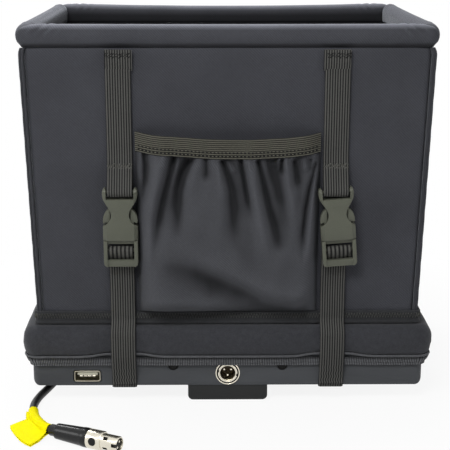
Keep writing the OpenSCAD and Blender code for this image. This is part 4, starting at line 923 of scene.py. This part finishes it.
# Long slanting fold: the cloth above it hangs over the cloth below it
DRAPE_U = [0.153, 0.225, 0.326, 0.441, 0.528, 0.601, 0.695, 0.791, 0.879, 0.937, 0.988]
DRAPE_V = [0.358, 0.33, 0.307, 0.254, 0.207, 0.163, 0.105, 0.07, 0.056, 0.077, 0.127]
# Lower left side of the hollow under that fold
HOLLOW_U, HOLLOW_V = [0.28, 0.37, 0.45, 0.5], [0.27, 0.157, 0.0, -0.2]
# Slopes between the folds that turn away from the light: points, half width and depth of shade
FACETS = [
    ([(0.26, 1.0), (0.215, 0.8), (0.18, 0.6), (0.16, 0.42), (0.15, 0.25)], 0.06, 0.27),
    ([(0.075, 1.0), (0.065, 0.85), (0.045, 0.7)], 0.035, 0.2),
    ([(0.53, 1.0), (0.55, 0.82), (0.575, 0.6), (0.6, 0.4), (0.63, 0.25)], 0.05, 0.25),
    ([(0.735, 1.0), (0.76, 0.8), (0.795, 0.6), (0.83, 0.4), (0.855, 0.2)], 0.052, 0.29),
    ([(0.895, 1.0), (0.905, 0.8), (0.885, 0.6), (0.875, 0.4)], 0.038, 0.27),
]
EDGE_SHARE, FOOT_SHARE, TALL_SHARE = 0.045, 0.11, 0.9
CLOTH_T, CLOTH_COLUMNS, CLOTH_ROWS, FOOT_NARROWER = 0.9, 240, 190, 1.4


def on_wall(x, out, up, z):
    """Point in the frame of the front wall: across, out of the wall and up the wall, from height z."""
    c, s = math.cos(FLARE), math.sin(FLARE)
    return stack(x, -hood_y(z) - out * c - up * s, z - out * s + up * c)


def swell(u):
    """How far the cloth has left the wall at share u of the width, from its sewn sides."""
    d = np.minimum(u, 1 - u)
    return 1 - np.exp(-((d / EDGE_SHARE) ** 1.2))


def rise(v):
    """How far the cloth has left the wall at share v of the height: steep at the foot, easing to the band."""
    low = np.sin(np.pi / 2 * ramp(v, 0, FOOT_SHARE)) ** 0.6
    return low * (1 + (BOW / BULGE - 1) * ramp(v, 0.35, 0.65) ** 1.4)


def top_at(u):
    """Height of the cloth's gathered top edge at share u of the width."""
    return POCKET_H - 1.1 * BAND_SAG * np.sin(np.pi * u**1.15) + 0.6 * (1 - u) ** 3


def pocket_height(u, v):
    """Height of the pocket's cloth over the wall in millimetres."""
    below = np.interp(u, DRAPE_U, DRAPE_V) - v
    lap = ramp(u, 0.10, 0.3) * (1 - ramp(u, 0.93, 0.07))
    dip = 0.58 * gate(below, 0.03) * hump(np.maximum(below - 0.05, 0), 0.22)
    lip = 1.5 * hump(below + 0.09, 0.07)
    h = BULGE * rise(v) * (1 - lap * dip) + lap * lip * ramp(v, 0, 0.06)
    # Ridges flatten under the band, and every fold fades out along its line
    near = 0.3 + 0.7 * ramp(v, 1, -0.06)
    for pts, w0, w1, amp in FOLDS:
        d, t = line_distance(u, v * TALL_SHARE, [(a, b * TALL_SHARE) for a, b in pts])
        w = w0 + (1.35 * w1 - w0) * t
        fade = ramp(t, 1, -0.5)
        form = hump(d, w) * near if amp > 0 else np.exp(-((d / w) ** 1.5))
        h = h + amp * form * fade * fade * (3 - 2 * fade)
    pleats = 0.45 * np.cos(2 * np.pi * (u * 21 + 0.35 * np.sin(u * 31))) * np.exp(-(1 - v) / 0.05)
    soft_form = 0.22 * ripple(u * 98, v * 88, 81, 12) + 0.45 * ripple(u * 98, v * 88, 82, 34)
    return np.maximum(h + pleats + soft_form * ramp(v, 0, 0.125), 0.5)


def facet(u, v, pts, wide):
    """Share of a shaded slope of the cloth, along a line of points (u, v) and fading at its end."""
    d, t = line_distance(u, v, pts)
    return np.exp(-((d / wide) ** 4)) * np.clip((1 - t) * 1.5, 0, 1)


def blurred(a, cells):
    """Grid of numbers, smoothed over about the given number of cells both ways."""
    k = hump(np.arange(-3 * cells, 3 * cells + 1), cells)
    k /= k.sum()
    for axis in (0, 1):
        a = np.apply_along_axis(lambda r: np.convolve(np.pad(r, 3 * cells, mode="edge"), k, "valid"), axis, a)
    return a


def make_pocket():
    """Gathered cloth of the pocket, and its width and height in metres if laid flat."""
    u, v = np.meshgrid(np.linspace(0, 1, CLOTH_COLUMNS), np.linspace(0, 1, CLOTH_ROWS), indexing="ij")
    h = SOFT + swell(u) * pocket_height(u, v)
    x = (u - 0.5) * (POCKET_W - FOOT_NARROWER * (1 - v))
    up = v * top_at(u)
    outer = on_wall(x, h + CLOTH_T, up, POCKET_FOOT)
    obj = shell_piece("pocket_cloth", on_wall(x, h, up, POCKET_FOOT), outer, M["pocket"])
    below = np.interp(u, DRAPE_U, DRAPE_V) - v
    low = v - np.interp(u, HOLLOW_U, HOLLOW_V)
    # Painted shade and highlight: hollows darker and ridges lighter than the cloth around them, painted
    # shadow of the band along the top, then painted shade in the hollow under the long fold and on the slopes
    # that face away from the light
    fold = 0.5 + (h - blurred(h, 8)) / 5.5 + (h - blurred(h, 26)) / 9 - 0.14 * hump(1 - v, 0.14)
    fold = fold - 0.21 * gate(below, 0.02) * gate(low, 0.04) * ramp(u, 0.95, -0.15)
    for pts, wide, depth in FACETS:
        fold = fold - depth * facet(u, v, pts, wide)
    settle(store_painted_shade(obj, np.concatenate([fold, fold])), "pocket")
    return obj, (run(outer, 0)[-1].mean() * MM, run(outer, 1)[:, -1].mean() * MM)


pocket_cloth, pocket_cut = make_pocket()
MOUTH_COLUMNS, MOUTH_LENGTH = 150, 105
MOUTH_STITCHES, MOUTH_MARGIN, MOUTH_ROWS, MOUTH_THREAD_R = 48, 0.012, (1.7, 3.5), 0.42


def mouth_at(u):
    """Inner face of the pocket's band: across, out and foot at share u of its width."""
    h = pocket_height(u, np.ones_like(u))
    return (u - 0.5) * POCKET_W, SOFT + swell(u) * (BOW + 0.35 * (h - BOW)), SOFT + top_at(u)


def make_mouth():
    """Ribbed band along the pocket's mouth, and the two rows of stitches that hold it."""
    w = np.linspace(0, 1, BAND_RIBS * RIB_POINTS + 1)
    edge = 0.5 * (hump(w, 0.02) + hump(1 - w, 0.02))
    front = BAND_T - 0.18 - 0.11 * np.cos(2 * np.pi * BAND_RIBS * w) - edge
    thick = np.concatenate([front, (0.02 + edge * 0.6)[::-1]])
    tall = BAND_H * np.concatenate([w, w[::-1]])
    u = np.linspace(0, 1, MOUTH_COLUMNS)
    x, y, z = mouth_at(u)
    y = np.convolve(np.pad(y, 4, mode="edge"), np.ones(9) / 9, "valid")
    grid = on_wall(x[:, None], y[:, None] + thick, z[:, None] + tall, POCKET_FOOT)
    uv = stack(u[:, None] * MOUTH_LENGTH, tall)
    band = settle(grid_piece("mouth_band", [grid], M["mouth"], uv), "pocket_band")
    spots = (np.arange(MOUTH_STITCHES)[:, None] + (0.2, 0.75)) / MOUTH_STITCHES
    t = MOUTH_MARGIN + (1 - 2 * MOUTH_MARGIN) * spots
    across, out, foot = np.interp(t, u, x), np.interp(t, u, y) + BAND_T - 0.1, np.interp(t, u, z)
    ends = np.concatenate([on_wall(across, out, foot + row, POCKET_FOOT) for row in MOUTH_ROWS])
    thread = stitches("mouth_stitch", ends, MOUTH_THREAD_R, M["dark_thread"])
    return [band, ride_on(thread, "base", "webbing")]


make_mouth()

# Straps

STRAP_STEP = 1.1


def ribbed(name, path, width, material, x0, ribs=STRAP_RIBS, thick=STRAP_T, wave=0.0):
    """Ribbed elastic along a path in Y and Z, centred at x0, whose lower end can waver by the given wave."""
    p = even(path, STRAP_STEP)
    square = normals(p)
    w = np.linspace(-0.5, 0.5, ribs * RIB_POINTS + 1)
    rib = (w + 0.5) * ribs
    groove = 0.30 * hump(rib - np.round(rib), 0.16)
    edge = 0.25 * (hump(w + 0.5, 0.012) + hump(0.5 - w, 0.012))
    back = np.linspace(0.5, -0.5, 13)
    across = np.concatenate([w, back]) * width
    out = np.concatenate([thick / 2 - groove - edge, 0.25 * (np.abs(back) > 0.49) - thick / 2])
    s, y, z = run(p)[:, None], p[:, :1], p[:, 1:]
    waver = wave * np.sin(s * 1.5) * ramp(z, 26, -12) * (1 - (2 * np.abs(across) / width) ** 6)
    grid = stack(x0 + across + waver, y + square[:, :1] * out, z + square[:, 1:] * out)
    return grid_piece(name, [grid], material, stack(s, across + width / 2))


LIE = SOFT + STRAP_T / 2
SOCKET_H, EAR_H = 23.5, 5.0
BAR_Z = SOCKET_H + EAR_H - 2.3
BAR_ROOM = STRAP_W / 2 * math.sin(TILT)
WRAP_R = 1.0 + BAR_ROOM + SOFT / 2 + STRAP_T / 2
LADDER_Z, LADDER_H = -6.0, 14.6
FOLD_R, FOLD_FOOT = 1.0 + SOFT + STRAP_T / 2, -9.4
TACK_Z = BAR_Z + 12.5
LOAD_Y = LIE + 1.9
TAIL_Y = LOAD_Y + STRAP_T + 0.35
RELEASE, STRAP_FOOT = 22.0, (-BASE_D / 2 - 0.6, BASE_Z + 0.7)
STRAP_HEAD = (HOOD_TOP - BUCKLE_Z) / math.cos(FLARE) - 0.6
END_W, END_T = 14.3, 0.7
OVER_SKIRT = SEAT_OUT + (SKIRT_OUT - SEAT_OUT) * (1 - PRESS) + LIE + 0.3
OVER_BAND = SEAT_OUT + 0.9 + LIE
OVER_TAPE = WALL_OUT + (TAPE_TOP - BASE_TOP) * LEAN + TAPE_T + LIE + 0.2
UNDER_Z = BASE_Z - LIE


def from_buckle(path):
    """Path of (out, up) in the buckle's frame on the wall, as Y and Z of the object."""
    out, up = np.asarray(path, float).T
    return on_wall(0.0, out, up, BUCKLE_Z)[:, 1:]


def outside(path, rear):
    """Path of (out, z) from the base's front or rear face, as Y and Z of the object."""
    return [(rear * (BASE_D / 2 + out), z) for out, z in path]


upper_path = np.concatenate([
    [(LIE, STRAP_HEAD)],
    smooth([(LIE, TACK_Z + 18), (LIE, TACK_Z + 12), (LIE + 0.05, TACK_Z + 7),
            (LIE + STRAP_T + 0.25, TACK_Z + 0.5), (BUCKLE_Y - 0.4, BAR_Z + 6.2),
            (BUCKLE_Y + WRAP_R, BAR_Z + 1.2)], 5),
    arc((BUCKLE_Y, BAR_Z), WRAP_R, 0, -180, 16),
    smooth([(BUCKLE_Y - WRAP_R, BAR_Z + 1.2), (BUCKLE_Y - WRAP_R - 1, BAR_Z + 5.4), (LIE + 0.1, BAR_Z + 9.6),
            (LIE, TACK_Z)], 5)])
fold_path = np.concatenate([
    smooth([(LOAD_Y + 0.1, FOLD_FOOT), (BUCKLE_Y - FOLD_R - 0.2, LADDER_Z - 1.6)], 3),
    arc((BUCKLE_Y, LADDER_Z), FOLD_R, 180, 0, 20),
    smooth([(BUCKLE_Y + FOLD_R - 0.3, LADDER_Z - 1.4), (TAIL_Y + 1.5, LADDER_Z - 3.6),
            (TAIL_Y, LADDER_Z - 5.6), (TAIL_Y, -LADDER_H)], 5)])
end_path = [(LIE + 0.95, STRAP_HEAD), (LIE + 0.9, STRAP_HEAD - 7), (LIE + 0.05, STRAP_HEAD - 11)]
wall_side = [(OVER_TAPE, TAPE_TOP + 1), (OVER_TAPE, TAPE_FOOT + 2.5), (OVER_SKIRT - 0.45, SKIRT_TOP - 2.6),
             (OVER_SKIRT, BASE_TOP + 3), (OVER_SKIRT, SKIRT_FOOT - 1), (OVER_BAND + 1, BAND_FOOT + 3.4),
             (OVER_BAND, BAND_FOOT - 1), (LIE + 0.15, BASE_Z + 4)]
under_turn = [(LIE, BASE_Z + 0.5), (LIE - 0.2, BASE_Z - 0.35), (LIE - 0.75, UNDER_Z)]
plug_foot = BUCKLE_Z + FOLD_FOOT * math.cos(FLARE)
lower_top, lower_mid, lower_rest = plug_foot - BAR_ROOM - 2 * SOFT, plug_foot - 6, TAPE_TOP + 11.8
lower_path = smooth([
    (-hood_y(lower_top) - LOAD_Y, lower_top), (-hood_y(lower_mid) - LOAD_Y, lower_mid),
    (-hood_y(lower_rest) - LIE - 0.8, lower_rest), *outside(wall_side + [(LIE, BASE_Z + 0.7)], -1)], 4)
back_path = np.concatenate([
    outside(under_turn, -1), outside(under_turn[::-1], 1), smooth(outside(wall_side[::-1], 1), 4),
    [(hood_y(z) + LIE, z) for z in (TAPE_TOP + 8, HOOD_TOP - 0.6)]])


def askew(obj, x0):
    """Turns a piece about the strap bar, as the right buckle hangs."""
    up = np.array([0, -math.sin(FLARE), math.cos(FLARE)])
    co = np.zeros(len(obj.data.vertices) * 3)
    obj.data.vertices.foreach_get("co", co)
    co = co.reshape(-1, 3) / MM
    dx = co[:, 0] - x0
    dz = (co - [0, -hood_y(BUCKLE_Z), BUCKLE_Z]) @ up - BAR_Z
    co[:, 0] = x0 + dx * math.cos(TILT) - dz * math.sin(TILT)
    co += (dx * math.sin(TILT) + dz * math.cos(TILT) - dz)[:, None] * up
    obj.data.vertices.foreach_set("co", co.ravel() * MM)
    return obj


TACK_STITCHES, TACK_HALF, TACK_LEAN = 13, 6.2, 0.35


def tack(x0, rows, out, slope, tall):
    """Rows of short slanting stitches across a strap, whose distance from the wall shrinks with height."""
    ends = []
    for row, foot in enumerate(rows):
        for k, x in enumerate(x0 + np.linspace(-TACK_HALF, TACK_HALF, TACK_STITCHES)):
            z = foot + 0.4 * math.sin(k * 2.3 + row)
            a, b = from_buckle([(out - slope * (h - TACK_Z), h) for h in (z - tall, z + tall)])
            ends.append(((x - TACK_LEAN, *a), (x + TACK_LEAN, *b)))
    return ends


for side, word, turn in ((-1, "left", 0.0), (1, "right", TILT)):
    x0 = side * STRAP_X
    upper = ribbed(word + "_upper_elastic", from_buckle(upper_path), STRAP_W, M["strap"], x0)
    settle(upper, word + "_upper_strap")
    settle(ribbed(word + "_back_elastic", back_path, STRAP_W, M["strap"], x0), word + "_back_strap")
    bend = ribbed(word + "_fold_elastic", from_buckle(fold_path), LOOP_W, M["loop"], x0, LOOP_RIBS)
    settle(askew(bend, x0) if turn else bend, word + "_strap_fold")
    low = ribbed(word + "_lower_elastic", lower_path, STRAP_W, M["strap"], x0, wave=0.28)
    settle(low, word + "_lower_strap")
    pull = np.array([-math.sin(turn), -math.cos(turn) * math.sin(FLARE), math.cos(turn) * math.cos(FLARE)])
    reach = float((np.array([x0, *lower_path[0]]) - [x0, *STRAP_FOOT]) @ pull)
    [c / 1000 for c in STRAP_FOOT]
    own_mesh(low)
    end = ribbed(word + "_turned_end", from_buckle(end_path), END_W, M["strap"], x0 - 0.5 * side, thick=END_T)
    ride_on(end, "base", "webbing")
    ends = tack(x0, (TACK_Z - 0.6, TACK_Z + 1.3), out=LIE + STRAP_T + 0.95, slope=0.07, tall=1.0)
    ride_on(stitches(word + "_bar_tack", ends, THREAD_R, M["thread"]), "base", "webbing")
    ends = tack(x0, (STRAP_HEAD - 2.2, STRAP_HEAD - 3.6), out=LIE + 1.2, slope=0, tall=0.5)
    for z in (HOOD_TOP - 3.0, HOOD_TOP - 4.6):
        y = hood_y(z) + LIE + 0.65
        for x in x0 + np.linspace(-TACK_HALF, TACK_HALF - 2 * TACK_LEAN, TACK_STITCHES):
            ends.append(((x, y, z - 0.5), (x + 2 * TACK_LEAN, y, z + 0.5)))
    ride_on(stitches(word + "_head_tack", ends, THREAD_R, M["dark_thread"]), "base", "webbing")

# Rigid pieces: look, width of the rounded edges, steps across them and nodes

for look, bevel, steps, nodes in (
        ("housing", 0.35, 2, "base_tray top_frame"), ("shoe", 0.35, 2, "mount_shoe"),
        ("shell", 0.08, 2, "usb_socket"),
        ("nickel", 0.08, 2, "panel_connector_nut panel_connector_pins panel_connector_shell"),
        ("socket", 0.12, 2, "panel_connector_insert"), ("tongue", 0.12, 2, "usb_tongue"),
        ("insert", 0.12, 2, "cable_gland"), ("screw", 0.12, 2, "shoe_screws housing_screws front_screws"),
        ("buckle", 0.4, 3, "left_buckle_socket right_buckle_socket left_buckle_plug right_buckle_plug"),
        ("buckle", 0.35, 3, "left_buckle_left_arm left_buckle_right_arm"),
        ("buckle", 0.35, 3, "right_buckle_left_arm right_buckle_right_arm"),
        ("glass", 0.2, 2, "display_glass")):
    for node in nodes.split():
        refine(node, M[look], bevel, steps)

# Painted shade: the round connector's flange face round its nut takes a near-black material
FLANGE_FACE = -BASE_D / 2 - 0.35
flange = bpy.data.objects["panel_connector_shell_piece"].data
flange.materials.append(M["groove"])
for face in flange.polygons:
    if face.normal.y < -0.9 and abs(face.center.y / MM - FLANGE_FACE) < 0.1:
        face.material_index = 1

# Hidden nodes keep their own meshes
for look, nodes in (("glass", "display_panel"), ("board", "main_board"), ("cell", "battery_pack"),
                    ("card", "front_board rear_board left_board right_board")):
    for node in nodes.split():
        NODES[node].data.materials.clear()
        NODES[node].data.materials.append(M[look])

CONTACT_X, CONTACT_W, CONTACT_T = (-82.0, -79.67, -77.33, -75.0), 1.6, 0.26


def usb_contacts():
    """Four sprung contacts under the socket's tongue, each curled at its front."""
    curl = smooth([(-80.5, 13.7), (-80.45, 14.2), (-79.9, 14.55), (-78.5, 14.62), (-74.5, 14.62)], 6)
    curl = even(curl, 0.2)
    square = normals(curl)
    side, over = np.array([(-1, -1), (1, -1), (1, 1), (-1, 1)]).T * np.array([[CONTACT_W], [CONTACT_T]]) / 2
    y, z = curl[:, :1] + square[:, :1] * over, curl[:, 1:] + square[:, 1:] * over
    blades = [stack(x + side, y, z) for x in CONTACT_X]
    ride_on(grid_piece("usb_contacts", blades, M["nickel"], smooth_shade=False), "base", "connector_metal")


usb_contacts()

# Floor, light and world

WHITE, FLOOR_HALF, FLOOR_Z = (1, 1, 1, 1), 6, -0.0005


def add_floor():
    """White floor that glows for the camera, a little less near the object, where soft shade shows."""
    n = Nodes(bpy.data.materials.new("floor_white"))
    n.base(Base_Color=(0.86, 0.86, 0.86, 1), Roughness=0.9, Specular_IOR_Level=0.1)
    far = n.new("VectorMath", operation="LENGTH")
    n.feed(far.inputs[0], n.place())
    reach = n.put(n.new("MapRange"), Value=far.outputs["Value"], From_Min=0.08, From_Max=0.26, To_Min=0.88,
                  To_Max=1.0)
    glow = n.put(n.new("Emission"), Color=WHITE, Strength=1.0)
    n.show(glow, n.math("MULTIPLY", n.seen(), reach.outputs[0]))
    mesh = bpy.data.meshes.new("floor")
    corners = [(sx * FLOOR_HALF, sy * FLOOR_HALF, FLOOR_Z) for sx, sy in ((-1, -1), (1, -1), (1, 1), (-1, 1))]
    mesh.from_pydata(corners, [], [(0, 1, 2, 3)])
    mesh.materials.append(n.owner)
    floor = link("floor", mesh)


def add_world():
    """World that is white for the camera and gives a little even light."""
    n = Nodes(bpy.data.worlds.new("studio"), "OutputWorld", "Background")
    n.base(Color=WHITE, Strength=0.08)
    n.show(n.put(n.new("Background"), Color=WHITE, Strength=1.0), n.seen())
    bpy.context.scene.world = n.owner


def add_lamp(name, place, target, size, power):
    """Rectangular lamp that faces a target."""
    lamp = bpy.data.lights.new(name, "AREA")
    lamp.shape = "RECTANGLE"
    lamp.size, lamp.size_y = size
    lamp.energy = power
    obj = link(name, lamp)
    obj.location = place
    obj.rotation_euler = (Vector(target) - Vector(place)).to_track_quat("-Z", "Y").to_euler()


add_floor()
add_world()
add_lamp("key", (-0.3, -0.85, 1.05), target=(0, -0.08, 0.1), size=(0.5, 0.4), power=10.5)
add_lamp("left_fill", (-0.95, -0.5, 0.55), target=(0, 0, 0.1), size=(0.4, 0.4), power=2.4)
add_lamp("right_fill", (0.9, -0.65, 0.45), target=(0, 0, 0.1), size=(0.4, 0.4), power=1.6)
add_lamp("back_top", (-0.25, 0.75, 1.1), target=(0, 0, 0.15), size=(0.7, 0.4), power=13)

bpy.context.scene.view_settings.view_transform = "Standard"
